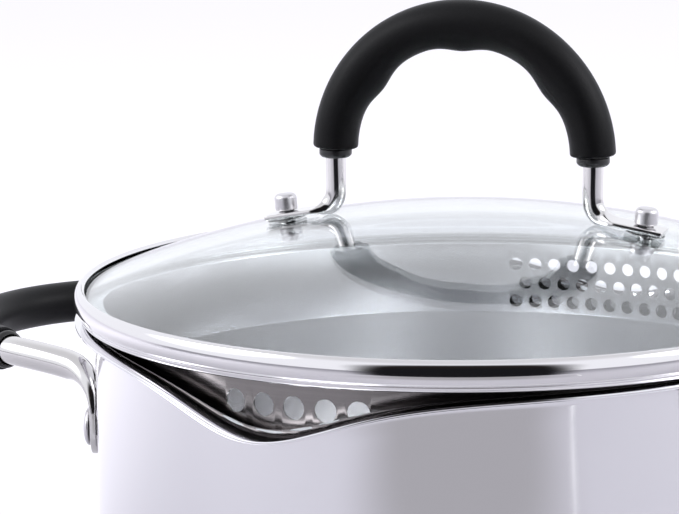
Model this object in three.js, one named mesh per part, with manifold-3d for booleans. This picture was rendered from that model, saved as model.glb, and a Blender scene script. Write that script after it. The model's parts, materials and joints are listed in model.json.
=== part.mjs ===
// Stainless steel saucepan with two pouring spouts, two riveted loop handles and a glass strainer lid.
// Millimetres, +Z up. The origin is the centre of the base's underside. The loop handles are on +X and -X,
// the spouts on -Y and +Y. The lid's large holes face -Y and its small holes face +Y.
import * as THREE from 'three';
import { mergeVertices } from 'three/addons/utils/BufferGeometryUtils.js';
import Module from 'manifold-3d';

const wasm = await Module();
wasm.setup();

// ---------------------------------------------------------------- driving dimensions

const GAP = 0.3; // clearance between pieces that touch on the real pan
const ROUND_STEPS = 54; // facets round the pan
const SMALL_STEPS = 10; // facets round rivets, rings and washers
const ROD_FACETS = 8;
const GRIP_FACETS = 12;
const CORNER_STEPS = 3; // facets round the shell's corner and its flare
const BEND_STEPS = 4; // points round the bend of a handle's leg
const LOOP_STEPS = 20; // points round a handle's half circle
const CUTTER_REACH = 10; // how far a hole's cutter runs past the middle of what it cuts

// Pot shell
const POT_INNER_RADIUS = 100;
const POT_WALL = 0.8;
const POT_CORNER_RADIUS = 12;
const RIM_TOP_Z = 120.2;
const RIM_OVERHANG = 6; // how far the plain rim flares out past the inside of the wall
const FLARE_HEIGHT = 4;
const FLARE_BEND = 3.4; // how much of the overhang is the rounded bend; the rest droops to the edge
const RIM_DROOP = 0.4;

// Pouring spouts, pressed down into the rim
const SPOUT_DIP = 11.2;
const SPOUT_SPREAD = THREE.MathUtils.degToRad(22);
const SPOUT_EXTRA_OVERHANG = 3.5;
const SPOUT_EXTRA_DROOP = 1.7;
const SPOUT_BLEND_Z = 88; // the wall below this height is untouched by the spouts

// Base: an aluminium disc closed in by a steel cap
const BASE_RADIUS = 86.5;
const BASE_CAP_THICKNESS = 0.6;
const BASE_CORE_THICKNESS = 4.5;
const BASE_CORNER_RADIUS = 3;

// Side handles
const SIDE_ROD_RADIUS = 4.1;
const SIDE_LEG_Y = 42.3; // half the distance between the legs, and the loop's radius
const SIDE_LOOP_CENTRE_X = 113.9;
const SIDE_LOOP_Z = 103.7;
const SIDE_LEG_FOOT_Z = 102; // height where the bend leaves the wall
const SIDE_BEND_RADIUS = 10;
const SIDE_TIP_LENGTH = 5; // the tab's end narrows over this length
const SIDE_TIP_WIDTH_SHARE = 0.55; // width of the tab's very end, as a share of its full width
const SIDE_SWELL_DROP = 3; // the tab starts to swell this far below the bend
const SIDE_TAB_BOTTOM_Z = 77.6;
const SIDE_TAB_HALF_WIDTH = 7;
const SIDE_TAB_HALF_THICKNESS = 1;
const SIDE_TAB_STANDOFF = 1.1; // from the wall to the tab's flat inner face
const SIDE_RIVET_Z = 85.3;
const SIDE_RIVET_SHANK_RADIUS = 2.5;
const SIDE_RIVET_HEAD_RADIUS = 5.4;
const SIDE_RIVET_HEAD_HEIGHT = 2;
const SIDE_RIVET_FOOT_RADIUS = 4.6;
const SIDE_RIVET_INNER_HEIGHT = 1.4;
const SIDE_GRIP_RADIUS = 6.2;
const SIDE_GRIP_END_ANGLE = THREE.MathUtils.degToRad(17.5);
const SIDE_RING_RADIUS = 5.4;
const SIDE_RING_LENGTH = 2.3;

// Both kinds of handle
const TAB_SQUARENESS = 0.45; // exponent of a tab's section: 1 is an ellipse, towards 0 is a box
const LEG_BEND_DEGREES = 84;
const RING_CHAMFER = 0.8;
const BORE_OVERRUN = 0.01; // a grip's bore starts this share of the rod's length outside the grip

// Lid. LID_Z is the height of the rim band's inner top edge, which the glass comes out of.
const LID_Z = 128;
const BAND_INNER_RADIUS = 103;
const BAND_OUTER_RADIUS = 106.2;
const BAND_SHEET = 0.7;
const BAND_CROWN_Z = LID_Z + 0.9;
const BAND_BOTTOM_Z = LID_Z - 7.4;
const BAND_LIP_RADIUS = 102.7;
const GLASS_SPHERE_RADIUS = 276;
const GLASS_APEX_Z = LID_Z + 19.2;
const GLASS_THICKNESS = 4;
const GLASS_EDGE_RADIUS = 104.9;
const GLASS_EDGE_BEVEL = 0.6;

// Strainer skirt under the glass
const SKIRT_OUTER_RADIUS = 98;
const SKIRT_SHEET = 0.6;
const SKIRT_FLANGE_RADIUS = 103.3;
const SKIRT_FLANGE_TOP_Z = LID_Z - 5.65;
const SKIRT_BOTTOM_Z = LID_Z - 28;
const LARGE_HOLES = { radius: 3, pitch: THREE.MathUtils.degToRad(5.06), count: 5, z: LID_Z - 14.7 };
const SMALL_HOLE_RADIUS = 2;
const SMALL_HOLE_PITCH = THREE.MathUtils.degToRad(3.5);
const SMALL_HOLE_ROWS = [
  { radius: SMALL_HOLE_RADIUS, pitch: SMALL_HOLE_PITCH, count: 10, z: LID_Z - 12.5 },
  { radius: SMALL_HOLE_RADIUS, pitch: SMALL_HOLE_PITCH, count: 9, z: LID_Z - 18.6 },
  { radius: SMALL_HOLE_RADIUS, pitch: SMALL_HOLE_PITCH, count: 10, z: LID_Z - 24.4 },
];

// The lid as it sits on the pot, and its handle as it is fixed to the lid
const LID_REST_TURN = THREE.MathUtils.degToRad(3);
const LID_HANDLE_TURN = THREE.MathUtils.degToRad(10.3);
const LID_ROD_RADIUS = 2.8;
const LID_LEG_X = 36.1;
const LID_LOOP_CENTRE_Z = LID_Z + 34.4;
const LID_GRIP_END_LIFT = 1; // the grip stops this far above the loop's widest line
const LID_BEND_RADIUS = 5.2;
const LID_TAB_TIP_X = 55.5;
const LID_TIP_LENGTH = 1;
const LID_TIP_WIDTH_SHARE = 0.8;
const LID_TAB_FLAT = 8.5; // the tab stays flat this far past the rivet, towards the leg
const LID_TAB_SWELL = 13.5; // and is a round rod again this far past it
const LID_TAB_HALF_WIDTH = 4.6;
const LID_TAB_HALF_THICKNESS = 0.7;
const LID_GASKET_THICKNESS = 0.4;
const LID_GASKET_RADIUS = 5.4;
const LID_WASHER_THICKNESS = 0.8;
const LID_RIVET_X = 50.3;
const LID_RIVET_LEAN = THREE.MathUtils.degToRad(5);
const LID_RIVET_SHANK_RADIUS = 1.9;
const LID_RIVET_HEAD_RADIUS = 3.1;
const LID_RIVET_HEAD_HEIGHT = 4.5;
const LID_RIVET_CHAMFER = 0.75;
const LID_RIVET_FOOT_HEIGHT = 1.8;
const LID_RIVET_FOOT_RADIUS = 2.9;
const LID_GRIP_RADIUS = 6.2;
const LID_GRIP_BUMP = 1.6; // height of the bumps between the finger hollows
const LID_GRIP_BUMP_ANGLE = THREE.MathUtils.degToRad(52);
const LID_GRIP_BUMP_SPREAD = THREE.MathUtils.degToRad(11);
const LID_RING_RADIUS = 4.5;
const LID_RING_LENGTH = 2.4;

// ---------------------------------------------------------------- materials

const polishedSteel = new THREE.MeshStandardMaterial({ color: 0xd9dade, metalness: 1, roughness: 0.12 });
const brushedSteel = new THREE.MeshStandardMaterial({ color: 0xc6c8cc, metalness: 1, roughness: 0.3 });
const aluminium = new THREE.MeshStandardMaterial({ color: 0xbfc1c4, metalness: 1, roughness: 0.5 });
const blackGrip = new THREE.MeshStandardMaterial({ color: 0x1b1b1e, metalness: 0, roughness: 0.6 });
const blackRing = new THREE.MeshStandardMaterial({ color: 0x111113, metalness: 0, roughness: 0.35 });
const clearSilicone = new THREE.MeshStandardMaterial({ color: 0xe4ebe9, metalness: 0, roughness: 0.25 });
const clearGlass = new THREE.MeshStandardMaterial({
  color: 0xdfeeec,
  metalness: 0,
  roughness: 0.02,
  transparent: true,
  opacity: 0.35,
});

// ---------------------------------------------------------------- solid helpers

// Sum of the signed tetrahedra between the origin and each face: positive when the faces point out.
function signedVolume(positions, indices) {
  const [a, b, c] = [new THREE.Vector3(), new THREE.Vector3(), new THREE.Vector3()];
  let total = 0;
  for (let i = 0; i < indices.length; i += 3) {
    a.fromBufferAttribute(positions, indices[i]);
    b.fromBufferAttribute(positions, indices[i + 1]);
    c.fromBufferAttribute(positions, indices[i + 2]);
    total += a.dot(b.cross(c)) / 6;
  }
  return total;
}

// One welded closed geometry with no zero-width faces and every face pointing out.
function weld(geometry) {
  const bare = geometry.clone();
  bare.deleteAttribute('normal');
  bare.deleteAttribute('uv');
  const merged = mergeVertices(bare, 1e-4);
  const source = merged.index.array;
  const kept = [];
  for (let i = 0; i < source.length; i += 3) {
    const [a, b, c] = [source[i], source[i + 1], source[i + 2]];
    if (a !== b && b !== c && c !== a) kept.push(a, b, c);
  }
  if (signedVolume(merged.getAttribute('position'), kept) < 0) kept.reverse();
  merged.setIndex(kept);
  return merged;
}

function toSolid(geometry) {
  const welded = weld(geometry);
  return new wasm.Manifold(new wasm.Mesh({
    numProp: 3,
    vertProperties: new Float32Array(welded.getAttribute('position').array),
    triVerts: new Uint32Array(welded.index.array),
  }));
}

// The geometry that is left after each cutter has been taken out of it.
function cut(geometry, cutters) {
  let solid = toSolid(geometry);
  for (const cutter of cutters) solid = solid.subtract(toSolid(cutter));
  const mesh = solid.getMesh();
  const result = new THREE.BufferGeometry();
  result.setAttribute('position', new THREE.BufferAttribute(mesh.vertProperties, 3));
  result.setIndex(new THREE.BufferAttribute(mesh.triVerts, 1));
  return result;
}

function makeMesh(name, geometry, material) {
  const mesh = new THREE.Mesh(weld(geometry), material);
  mesh.name = name;
  return mesh;
}

// ---------------------------------------------------------------- shape helpers

// A closed outline of [radius, height] points turned about +Z.
function turned(outline, steps) {
  const points = outline.map(([radius, height]) => new THREE.Vector2(radius, height));
  return new THREE.LatheGeometry(points, steps).rotateX(Math.PI / 2);
}

// Points [radius, height] round part of a circle, from one angle to another.
function arc2(centreRadius, centreHeight, radius, fromDegrees, toDegrees, steps) {
  const points = [];
  for (let i = 0; i <= steps; i++) {
    const angle = THREE.MathUtils.degToRad(fromDegrees + ((toDegrees - fromDegrees) * i) / steps);
    points.push([centreRadius + radius * Math.cos(angle), centreHeight + radius * Math.sin(angle)]);
  }
  return points;
}

// A ring of rectangular section about +Z, between two heights.
function ring(innerRadius, outerRadius, bottom, top, steps) {
  const outline = [
    [innerRadius, bottom],
    [outerRadius, bottom],
    [outerRadius, top],
    [innerRadius, top],
    [innerRadius, bottom],
  ];
  return turned(outline, steps);
}

// A cylinder whose axis runs from one point to another.
function cylinderBetween(start, end, radius, steps) {
  const along = new THREE.Vector3().subVectors(end, start);
  const geometry = new THREE.CylinderGeometry(radius, radius, start.distanceTo(end), steps);
  const ownAxis = new THREE.Vector3(0, 1, 0);
  geometry.applyQuaternion(new THREE.Quaternion().setFromUnitVectors(ownAxis, along.normalize()));
  const middle = new THREE.Vector3().addVectors(start, end).multiplyScalar(0.5);
  return geometry.translate(middle.x, middle.y, middle.z);
}

// Places along a curve, as fractions of its length, with frames that don't twist about it.
function framesAlong(curve, stations, firstNormal) {
  const frames = [];
  let normal = firstNormal.clone();
  for (const station of stations) {
    const tangent = curve.getTangentAt(station);
    normal = normal.addScaledVector(tangent, -normal.dot(tangent)).normalize();
    const side = new THREE.Vector3().crossVectors(tangent, normal);
    frames.push({ centre: curve.getPointAt(station), normal: normal.clone(), side });
  }
  return frames;
}

// A bar along a curve. sectionAt(station) gives the section's half-sizes along the normal and the side,
// how square it is, from 1 for an ellipse down towards 0 for a box, and a bulge on its -normal flank.
function sweptBar(curve, stations, firstNormal, facets, sectionAt) {
  const steps = stations.length - 1;
  const frames = framesAlong(curve, stations, firstNormal);
  const geometry = new THREE.CylinderGeometry(1, 1, 1, facets, steps);
  const positions = geometry.getAttribute('position');
  const point = new THREE.Vector3();
  for (let i = 0; i < positions.count; i++) {
    point.fromBufferAttribute(positions, i);
    const row = Math.round((0.5 - point.y) * steps);
    const { thickness, width, power, bulge } = sectionAt(stations[row]);
    const frame = frames[row];
    const across = Math.sign(point.z) * Math.abs(point.z) ** power * thickness;
    const flank = Math.max(0, -point.z) ** 2 * bulge;
    const along = Math.sign(point.x) * Math.abs(point.x) ** power * width;
    point.copy(frame.centre).addScaledVector(frame.normal, across - flank).addScaledVector(frame.side, along);
    positions.setXYZ(i, point.x, point.y, point.z);
  }
  return geometry;
}

function roundSection(radius) {
  return () => ({ thickness: radius, width: radius, power: 1, bulge: 0 });
}

// Section of a faceted bore whose flats stay clear of a rod, however the two are turned.
function boreSection(rodRadius) {
  return roundSection((rodRadius + GAP) / Math.cos(Math.PI / ROD_FACETS));
}

// Evenly spaced stations between two places on a curve, both ends included.
function stationsBetween(from, to, steps) {
  return Array.from({ length: steps + 1 }, (_, i) => from + ((to - from) * i) / steps);
}

// ---------------------------------------------------------------- pot

// How deep the spouts are pressed at a place round the rim: 1 in the middle of a spout, near 0 at the
// handles.
function spoutDepth(x, y) {
  const offSpout = Math.atan2(Math.abs(x), Math.abs(y));
  return 1 / (1 + (offSpout / SPOUT_SPREAD) ** 2) ** 2;
}

// Presses both spouts into a turned shell: the rim goes down, and its flare reaches further out.
function pressSpouts(geometry) {
  const positions = geometry.getAttribute('position');
  for (let i = 0; i < positions.count; i++) {
    const [x, y, z] = [positions.getX(i), positions.getY(i), positions.getZ(i)];
    const depth = spoutDepth(x, y);
    const reach = THREE.MathUtils.clamp((z - SPOUT_BLEND_Z) / (flareStartZ - SPOUT_BLEND_Z), 0, 1);
    const radius = Math.hypot(x, y);
    const overhang = Math.max(0, radius - potOuterRadius) / (rimEdgeRadius - potOuterRadius);
    const stretch = 1 + (SPOUT_EXTRA_OVERHANG * overhang * depth) / radius;
    const drop = (SPOUT_DIP * reach + SPOUT_EXTRA_DROOP * overhang ** 2) * depth;
    if (z > SPOUT_BLEND_Z) positions.setXYZ(i, x * stretch, y * stretch, z - drop);
  }
  return geometry;
}

const baseTopZ = BASE_CAP_THICKNESS + GAP + BASE_CORE_THICKNESS + GAP;
const potFloorZ = baseTopZ + POT_WALL;
const potOuterRadius = POT_INNER_RADIUS + POT_WALL;
const rimEdgeRadius = POT_INNER_RADIUS + RIM_OVERHANG;
const flareStartZ = RIM_TOP_Z - FLARE_HEIGHT;

// The rim's flare at an offset from its inner face: a quarter of an ellipse, then a slight droop to the edge.
function flare(offset) {
  const points = [];
  for (let i = 0; i <= CORNER_STEPS; i++) {
    const angle = (Math.PI / 2) * (i / CORNER_STEPS);
    points.push([
      POT_INNER_RADIUS + FLARE_BEND - (FLARE_BEND - offset) * Math.cos(angle),
      flareStartZ + (FLARE_HEIGHT - offset) * Math.sin(angle),
    ]);
  }
  return [...points, [rimEdgeRadius, RIM_TOP_Z - offset - RIM_DROOP]];
}

function potOutline() {
  const outerCorner = POT_CORNER_RADIUS + POT_WALL;
  const cornerCentreZ = potFloorZ + POT_CORNER_RADIUS;
  const cornerCentreRadius = POT_INNER_RADIUS - POT_CORNER_RADIUS;
  return [
    [0, baseTopZ],
    ...arc2(cornerCentreRadius, cornerCentreZ, outerCorner, -90, 0, CORNER_STEPS),
    [potOuterRadius, SPOUT_BLEND_Z],
    ...flare(POT_WALL),
    ...flare(0).reverse(),
    [POT_INNER_RADIUS, SPOUT_BLEND_Z],
    ...arc2(cornerCentreRadius, cornerCentreZ, POT_CORNER_RADIUS, 0, -90, CORNER_STEPS),
    [0, potFloorZ],
  ];
}

// The angle from a handle's own axis to each of its tabs, and the tab's middle radius.
const tabMiddleRadius = potOuterRadius + SIDE_TAB_STANDOFF + SIDE_TAB_HALF_THICKNESS;
const tabAngle = Math.asin(SIDE_LEG_Y / tabMiddleRadius);

function sideRivetPoint(radius, side) {
  const angle = side * tabAngle;
  return new THREE.Vector3(radius * Math.cos(angle), radius * Math.sin(angle), SIDE_RIVET_Z);
}

// Cutter for a rivet hole through a tab and the wall behind it, on the +X handle.
function sideRivetHole(side) {
  const start = sideRivetPoint(potOuterRadius - CUTTER_REACH, side);
  const end = sideRivetPoint(potOuterRadius + CUTTER_REACH, side);
  return cylinderBetween(start, end, SIDE_RIVET_SHANK_RADIUS + GAP, SMALL_STEPS);
}

function makePot() {
  const holes = [-1, 1].flatMap((side) => {
    const hole = sideRivetHole(side);
    return [hole, hole.clone().rotateZ(Math.PI)];
  });
  const shell = pressSpouts(turned(potOutline(), ROUND_STEPS));
  const coreBottom = BASE_CAP_THICKNESS + GAP;
  const capInner = BASE_CORNER_RADIUS - BASE_CAP_THICKNESS;
  const capEdge = BASE_RADIUS - BASE_CORNER_RADIUS;
  const coreRadius = BASE_RADIUS - BASE_CAP_THICKNESS - GAP;
  const cap = [
    [0, 0],
    ...arc2(capEdge, BASE_CORNER_RADIUS, BASE_CORNER_RADIUS, -90, 0, 2),
    [BASE_RADIUS, baseTopZ - GAP],
    [BASE_RADIUS - BASE_CAP_THICKNESS, baseTopZ - GAP],
    ...arc2(capEdge, BASE_CORNER_RADIUS, capInner, 0, -90, 2),
    [0, BASE_CAP_THICKNESS],
  ];
  const core = [
    [0, coreBottom],
    [coreRadius - BASE_CORNER_RADIUS + BASE_CAP_THICKNESS, coreBottom],
    [coreRadius, coreBottom + BASE_CORNER_RADIUS - BASE_CAP_THICKNESS],
    [coreRadius, coreBottom + BASE_CORE_THICKNESS],
    [0, coreBottom + BASE_CORE_THICKNESS],
  ];
  const pot = new THREE.Group();
  pot.add(
    makeMesh('pot_body', cut(shell, holes), polishedSteel),
    makeMesh('base_core', turned(core, ROUND_STEPS), aluminium),
    makeMesh('base_cap', turned(cap, ROUND_STEPS), brushedSteel),
  );
  return pot;
}

// ---------------------------------------------------------------- handles, common pieces

// Points round a bend, from its centre: the first direction turns into the second one.
function bend(centre, firstDirection, secondDirection, radius, toDegrees, steps) {
  const points = [];
  for (let i = 0; i <= steps; i++) {
    const angle = THREE.MathUtils.degToRad((toDegrees * i) / steps);
    const point = centre.clone().addScaledVector(firstDirection, radius * Math.cos(angle));
    points.push(point.addScaledVector(secondDirection, radius * Math.sin(angle)));
  }
  return points;
}

// Section of a rod with flattened tabs at both ends. The tab runs for tabEnd of the length, with a rounded
// tip over tipEnd that narrows to tipShare of the width, and swells into the round rod by rodStart.
function tabbedSection({ rodRadius, halfWidth, halfThickness, tipShare, tipEnd, tabEnd, rodStart }) {
  return (station) => {
    const fromEnd = Math.min(station, 1 - station);
    const swell = THREE.MathUtils.smoothstep(fromEnd, tabEnd, rodStart);
    const tip = Math.min(1, fromEnd / tipEnd);
    const rounding = tipShare + (1 - tipShare) * Math.sqrt(1 - (1 - tip) ** 2);
    return {
      thickness: THREE.MathUtils.lerp(halfThickness, rodRadius, swell),
      width: THREE.MathUtils.lerp(halfWidth, rodRadius, swell) * rounding,
      power: THREE.MathUtils.lerp(TAB_SQUARENESS, 1, swell),
      bulge: 0,
    };
  };
}

// A black end ring on a rod, its axis along the rod.
function makeEndRing(name, rodRadius, outerRadius, length, place) {
  const half = length / 2;
  const outline = [
    [rodRadius + GAP, -half],
    [outerRadius, -half],
    [outerRadius, half - RING_CHAMFER],
    [outerRadius - RING_CHAMFER, half],
    [rodRadius + GAP, half],
    [rodRadius + GAP, -half],
  ];
  const mesh = makeMesh(name, turned(outline, SMALL_STEPS), blackRing);
  mesh.position.copy(place.centre);
  mesh.quaternion.setFromUnitVectors(new THREE.Vector3(0, 0, 1), place.outward);
  return mesh;
}

// ---------------------------------------------------------------- side handles

function sideHandlePoints() {
  const x = (side) => tabMiddleRadius * Math.cos(side * tabAngle);
  const bendCentre = (side) =>
    new THREE.Vector3(x(side) + SIDE_BEND_RADIUS, side * SIDE_LEG_Y, SIDE_LEG_FOOT_Z - SIDE_BEND_RADIUS);
  const inward = new THREE.Vector3(-1, 0, 0);
  const up = new THREE.Vector3(0, 0, 1);
  const leg = (side) => [
    new THREE.Vector3(x(side), side * SIDE_LEG_Y, SIDE_TAB_BOTTOM_Z),
    new THREE.Vector3(x(side), side * SIDE_LEG_Y, SIDE_RIVET_Z),
    new THREE.Vector3(x(side), side * SIDE_LEG_Y, SIDE_RIVET_Z + SIDE_RIVET_HEAD_RADIUS),
    ...bend(bendCentre(side), inward, up, SIDE_BEND_RADIUS, LEG_BEND_DEGREES, BEND_STEPS),
  ];
  const loopCentre = new THREE.Vector3(SIDE_LOOP_CENTRE_X, 0, SIDE_LOOP_Z);
  const towardsFirstLeg = new THREE.Vector3(0, -1, 0);
  const outward = new THREE.Vector3(1, 0, 0);
  const loop = bend(loopCentre, towardsFirstLeg, outward, SIDE_LEG_Y, 180, LOOP_STEPS);
  return [...leg(-1), ...loop.slice(1, -1), ...leg(1).reverse()];
}

// Fractions of the rod's length at which the grip begins, and where the pieces of the leg are.
function sideHandleStations(curve) {
  const length = curve.getLength();
  const loopLength = Math.PI * SIDE_LEG_Y;
  const gripSpan = loopLength * (1 - (2 * SIDE_GRIP_END_ANGLE) / Math.PI);
  const gripStart = (length - gripSpan) / 2 / length;
  const straight = SIDE_LEG_FOOT_Z - SIDE_BEND_RADIUS - SIDE_TAB_BOTTOM_Z;
  const bendLength = (SIDE_BEND_RADIUS * Math.PI) / 2;
  return {
    length,
    gripStart,
    tip: SIDE_TIP_LENGTH / length,
    tabEnd: (straight - SIDE_SWELL_DROP) / length,
    bendEnd: (straight + bendLength) / length,
    ring: SIDE_RING_LENGTH / length,
  };
}

function makeSideHandle(prefix) {
  const curve = new THREE.CatmullRomCurve3(sideHandlePoints(), false, 'centripetal');
  const places = sideHandleStations(curve);
  const legStations = [
    ...stationsBetween(0, places.tip, 3),
    ...stationsBetween(places.tabEnd, places.bendEnd, 6),
    ...stationsBetween(places.gripStart - 2 * places.ring, places.gripStart - places.ring / 2, 2),
  ];
  const gripStations = stationsBetween(places.gripStart, 1 - places.gripStart, 16);
  const mirrored = legStations.map((station) => 1 - station).reverse();
  const rodStations = [...legStations, ...gripStations, ...mirrored];
  // The tabs lie flat on the wall, so the section is turned by the tab's angle from the handle's axis.
  const flatDirection = new THREE.Vector3(Math.cos(tabAngle), -Math.sin(tabAngle), 0);
  const section = tabbedSection({
    rodRadius: SIDE_ROD_RADIUS,
    halfWidth: SIDE_TAB_HALF_WIDTH,
    halfThickness: SIDE_TAB_HALF_THICKNESS,
    tipShare: SIDE_TIP_WIDTH_SHARE,
    tipEnd: places.tip,
    tabEnd: places.tabEnd,
    rodStart: places.bendEnd,
  });
  const rod = sweptBar(curve, rodStations, flatDirection, ROD_FACETS, section);
  const grip = sweptBar(curve, gripStations, flatDirection, GRIP_FACETS, roundSection(SIDE_GRIP_RADIUS));
  const boreStart = places.gripStart - BORE_OVERRUN;
  const boreStations = [boreStart, ...gripStations, 1 - boreStart];
  const bore = sweptBar(curve, boreStations, flatDirection, ROD_FACETS, boreSection(SIDE_ROD_RADIUS));

  const handle = new THREE.Group();
  handle.add(
    makeMesh(`${prefix}_handle_rod`, cut(rod, [sideRivetHole(-1), sideRivetHole(1)]), polishedSteel),
    makeMesh(`${prefix}_handle_grip`, cut(grip, [bore]), blackGrip),
  );
  for (const [side, end] of [[-1, 'a'], [1, 'b']]) {
    const ringDistance = 2 * GAP + SIDE_RING_LENGTH / 2;
    const station = places.gripStart - ringDistance / places.length;
    const at = side < 0 ? station : 1 - station;
    const outward = curve.getTangentAt(at).multiplyScalar(side);
    const place = { centre: curve.getPointAt(at), outward };
    handle.add(
      makeEndRing(`${prefix}_handle_ring_${end}`, SIDE_ROD_RADIUS, SIDE_RING_RADIUS, SIDE_RING_LENGTH, place),
      makeSideRivet(`${prefix}_handle_rivet_${end}`, side),
    );
  }
  return handle;
}

// Outline of a domed rivet head, from its rim to its crown.
function domedHead(radius, base, height) {
  return [0, 30, 60, 90].map((degrees) => {
    const angle = THREE.MathUtils.degToRad(degrees);
    return [degrees === 90 ? 0 : radius * Math.cos(angle), base + height * Math.sin(angle)];
  });
}

// A solid rivet through a tab and the wall: domed head outside, low head inside.
function makeSideRivet(name, side) {
  const headBase = tabMiddleRadius + SIDE_TAB_HALF_THICKNESS + 1.5 * GAP;
  const footBase = POT_INNER_RADIUS - 3 * GAP;
  const outline = [
    ...domedHead(SIDE_RIVET_FOOT_RADIUS, footBase, -SIDE_RIVET_INNER_HEIGHT).reverse(),
    [SIDE_RIVET_SHANK_RADIUS, footBase],
    [SIDE_RIVET_SHANK_RADIUS, headBase],
    ...domedHead(SIDE_RIVET_HEAD_RADIUS, headBase, SIDE_RIVET_HEAD_HEIGHT),
  ];
  const mesh = makeMesh(name, turned(outline, SMALL_STEPS), polishedSteel);
  mesh.position.set(0, 0, SIDE_RIVET_Z);
  mesh.rotation.set(0, Math.PI / 2, side * tabAngle, 'ZYX');
  return mesh;
}

// ---------------------------------------------------------------- lid

// Height of the glass's top face at a distance from the axis.
function glassTop(radius) {
  const drop = GLASS_SPHERE_RADIUS - Math.sqrt(GLASS_SPHERE_RADIUS ** 2 - radius ** 2);
  return GLASS_APEX_Z - drop;
}

// The band wraps the glass's edge. Its inner side steps round the skirt's flange, then follows the glass.
function makeRimBand() {
  const underFlange = SKIRT_FLANGE_TOP_Z - SKIRT_SHEET - GAP;
  const inside = BAND_OUTER_RADIUS - BAND_SHEET;
  const outline = [
    [BAND_INNER_RADIUS, LID_Z - 0.1],
    [BAND_INNER_RADIUS + 0.5, LID_Z + 0.55],
    [BAND_OUTER_RADIUS - 2, BAND_CROWN_Z],
    [BAND_OUTER_RADIUS - 0.5, BAND_CROWN_Z - 1.1],
    [BAND_OUTER_RADIUS, BAND_CROWN_Z - 4.4],
    [BAND_OUTER_RADIUS - 0.25, BAND_BOTTOM_Z + 3],
    [BAND_OUTER_RADIUS - 1.8, BAND_BOTTOM_Z],
    [BAND_LIP_RADIUS + 0.3, BAND_BOTTOM_Z],
    [BAND_LIP_RADIUS, underFlange],
    [SKIRT_FLANGE_RADIUS + 0.4, underFlange],
    [inside - 0.8, underFlange + 1.15],
    [inside, LID_Z - 1.5],
    [inside - 0.6, LID_Z - 0.15],
    [BAND_INNER_RADIUS, LID_Z - 0.1],
  ];
  return makeMesh('lid_rim_band', turned(outline, ROUND_STEPS), polishedSteel);
}

// Where a lid rivet's axis, which leans out from the vertical, meets the glass's top face.
const lidRivetSeat = new THREE.Vector3(LID_RIVET_X, 0, glassTop(LID_RIVET_X));

// Cutter for a lid rivet's hole, on the +X side.
function lidRivetHole(radius) {
  const axis = new THREE.Vector3(Math.sin(LID_RIVET_LEAN), 0, Math.cos(LID_RIVET_LEAN));
  const start = lidRivetSeat.clone().addScaledVector(axis, -CUTTER_REACH);
  const end = lidRivetSeat.clone().addScaledVector(axis, CUTTER_REACH);
  return cylinderBetween(start, end, radius, SMALL_STEPS);
}

function bothSides(cutter) {
  return [cutter, cutter.clone().rotateZ(Math.PI)];
}

function makeGlass() {
  const innerSphere = GLASS_SPHERE_RADIUS - GLASS_THICKNESS;
  const top = [];
  const bottom = [];
  const steps = 4;
  for (let i = 0; i <= steps; i++) {
    const radius = (GLASS_EDGE_RADIUS * i) / steps;
    const angle = Math.asin(radius / GLASS_SPHERE_RADIUS);
    top.push([radius, glassTop(radius)]);
    const under = (GLASS_APEX_Z - GLASS_SPHERE_RADIUS) + innerSphere * Math.cos(angle);
    bottom.push([i === steps ? radius - GLASS_EDGE_BEVEL : innerSphere * Math.sin(angle), under]);
  }
  const outline = [...top, ...bottom.reverse()];
  const dome = turned(outline, ROUND_STEPS);
  const holes = bothSides(lidRivetHole(LID_RIVET_SHANK_RADIUS + GAP));
  holes.forEach((hole) => hole.rotateZ(LID_HANDLE_TURN));
  return makeMesh('lid_glass', cut(dome, holes), clearGlass);
}

// Cutters for a row of round holes through the skirt, centred on a direction.
function holeRow({ radius, pitch, count, z }, direction) {
  return Array.from({ length: count }, (_, i) => {
    const angle = direction + (i - (count - 1) / 2) * pitch;
    const outward = new THREE.Vector3(Math.cos(angle), Math.sin(angle), 0);
    const start = outward.clone().multiplyScalar(SKIRT_OUTER_RADIUS - CUTTER_REACH).setZ(z);
    const end = outward.clone().multiplyScalar(SKIRT_OUTER_RADIUS + CUTTER_REACH).setZ(z);
    return cylinderBetween(start, end, radius, SMALL_STEPS);
  });
}

function makeSkirt() {
  const inner = SKIRT_OUTER_RADIUS - SKIRT_SHEET;
  const outline = [
    [inner, SKIRT_BOTTOM_Z],
    [SKIRT_OUTER_RADIUS, SKIRT_BOTTOM_Z],
    [SKIRT_OUTER_RADIUS, SKIRT_FLANGE_TOP_Z - SKIRT_SHEET],
    [SKIRT_FLANGE_RADIUS, SKIRT_FLANGE_TOP_Z - SKIRT_SHEET],
    [SKIRT_FLANGE_RADIUS, SKIRT_FLANGE_TOP_Z],
    [inner, SKIRT_FLANGE_TOP_Z],
    [inner, SKIRT_BOTTOM_Z],
  ];
  const towardsLargeSpout = -Math.PI / 2;
  const towardsSmallSpout = Math.PI / 2;
  const holes = [
    ...holeRow(LARGE_HOLES, towardsLargeSpout),
    ...SMALL_HOLE_ROWS.flatMap((row) => holeRow(row, towardsSmallSpout)),
  ];
  return makeMesh('strainer_skirt', cut(turned(outline, ROUND_STEPS), holes), brushedSteel);
}

// ---------------------------------------------------------------- lid handle

const glassSlope = Math.asin(LID_RIVET_X / GLASS_SPHERE_RADIUS);
const tabLift = GAP + LID_GASKET_THICKNESS + GAP + LID_TAB_HALF_THICKNESS;

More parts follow.
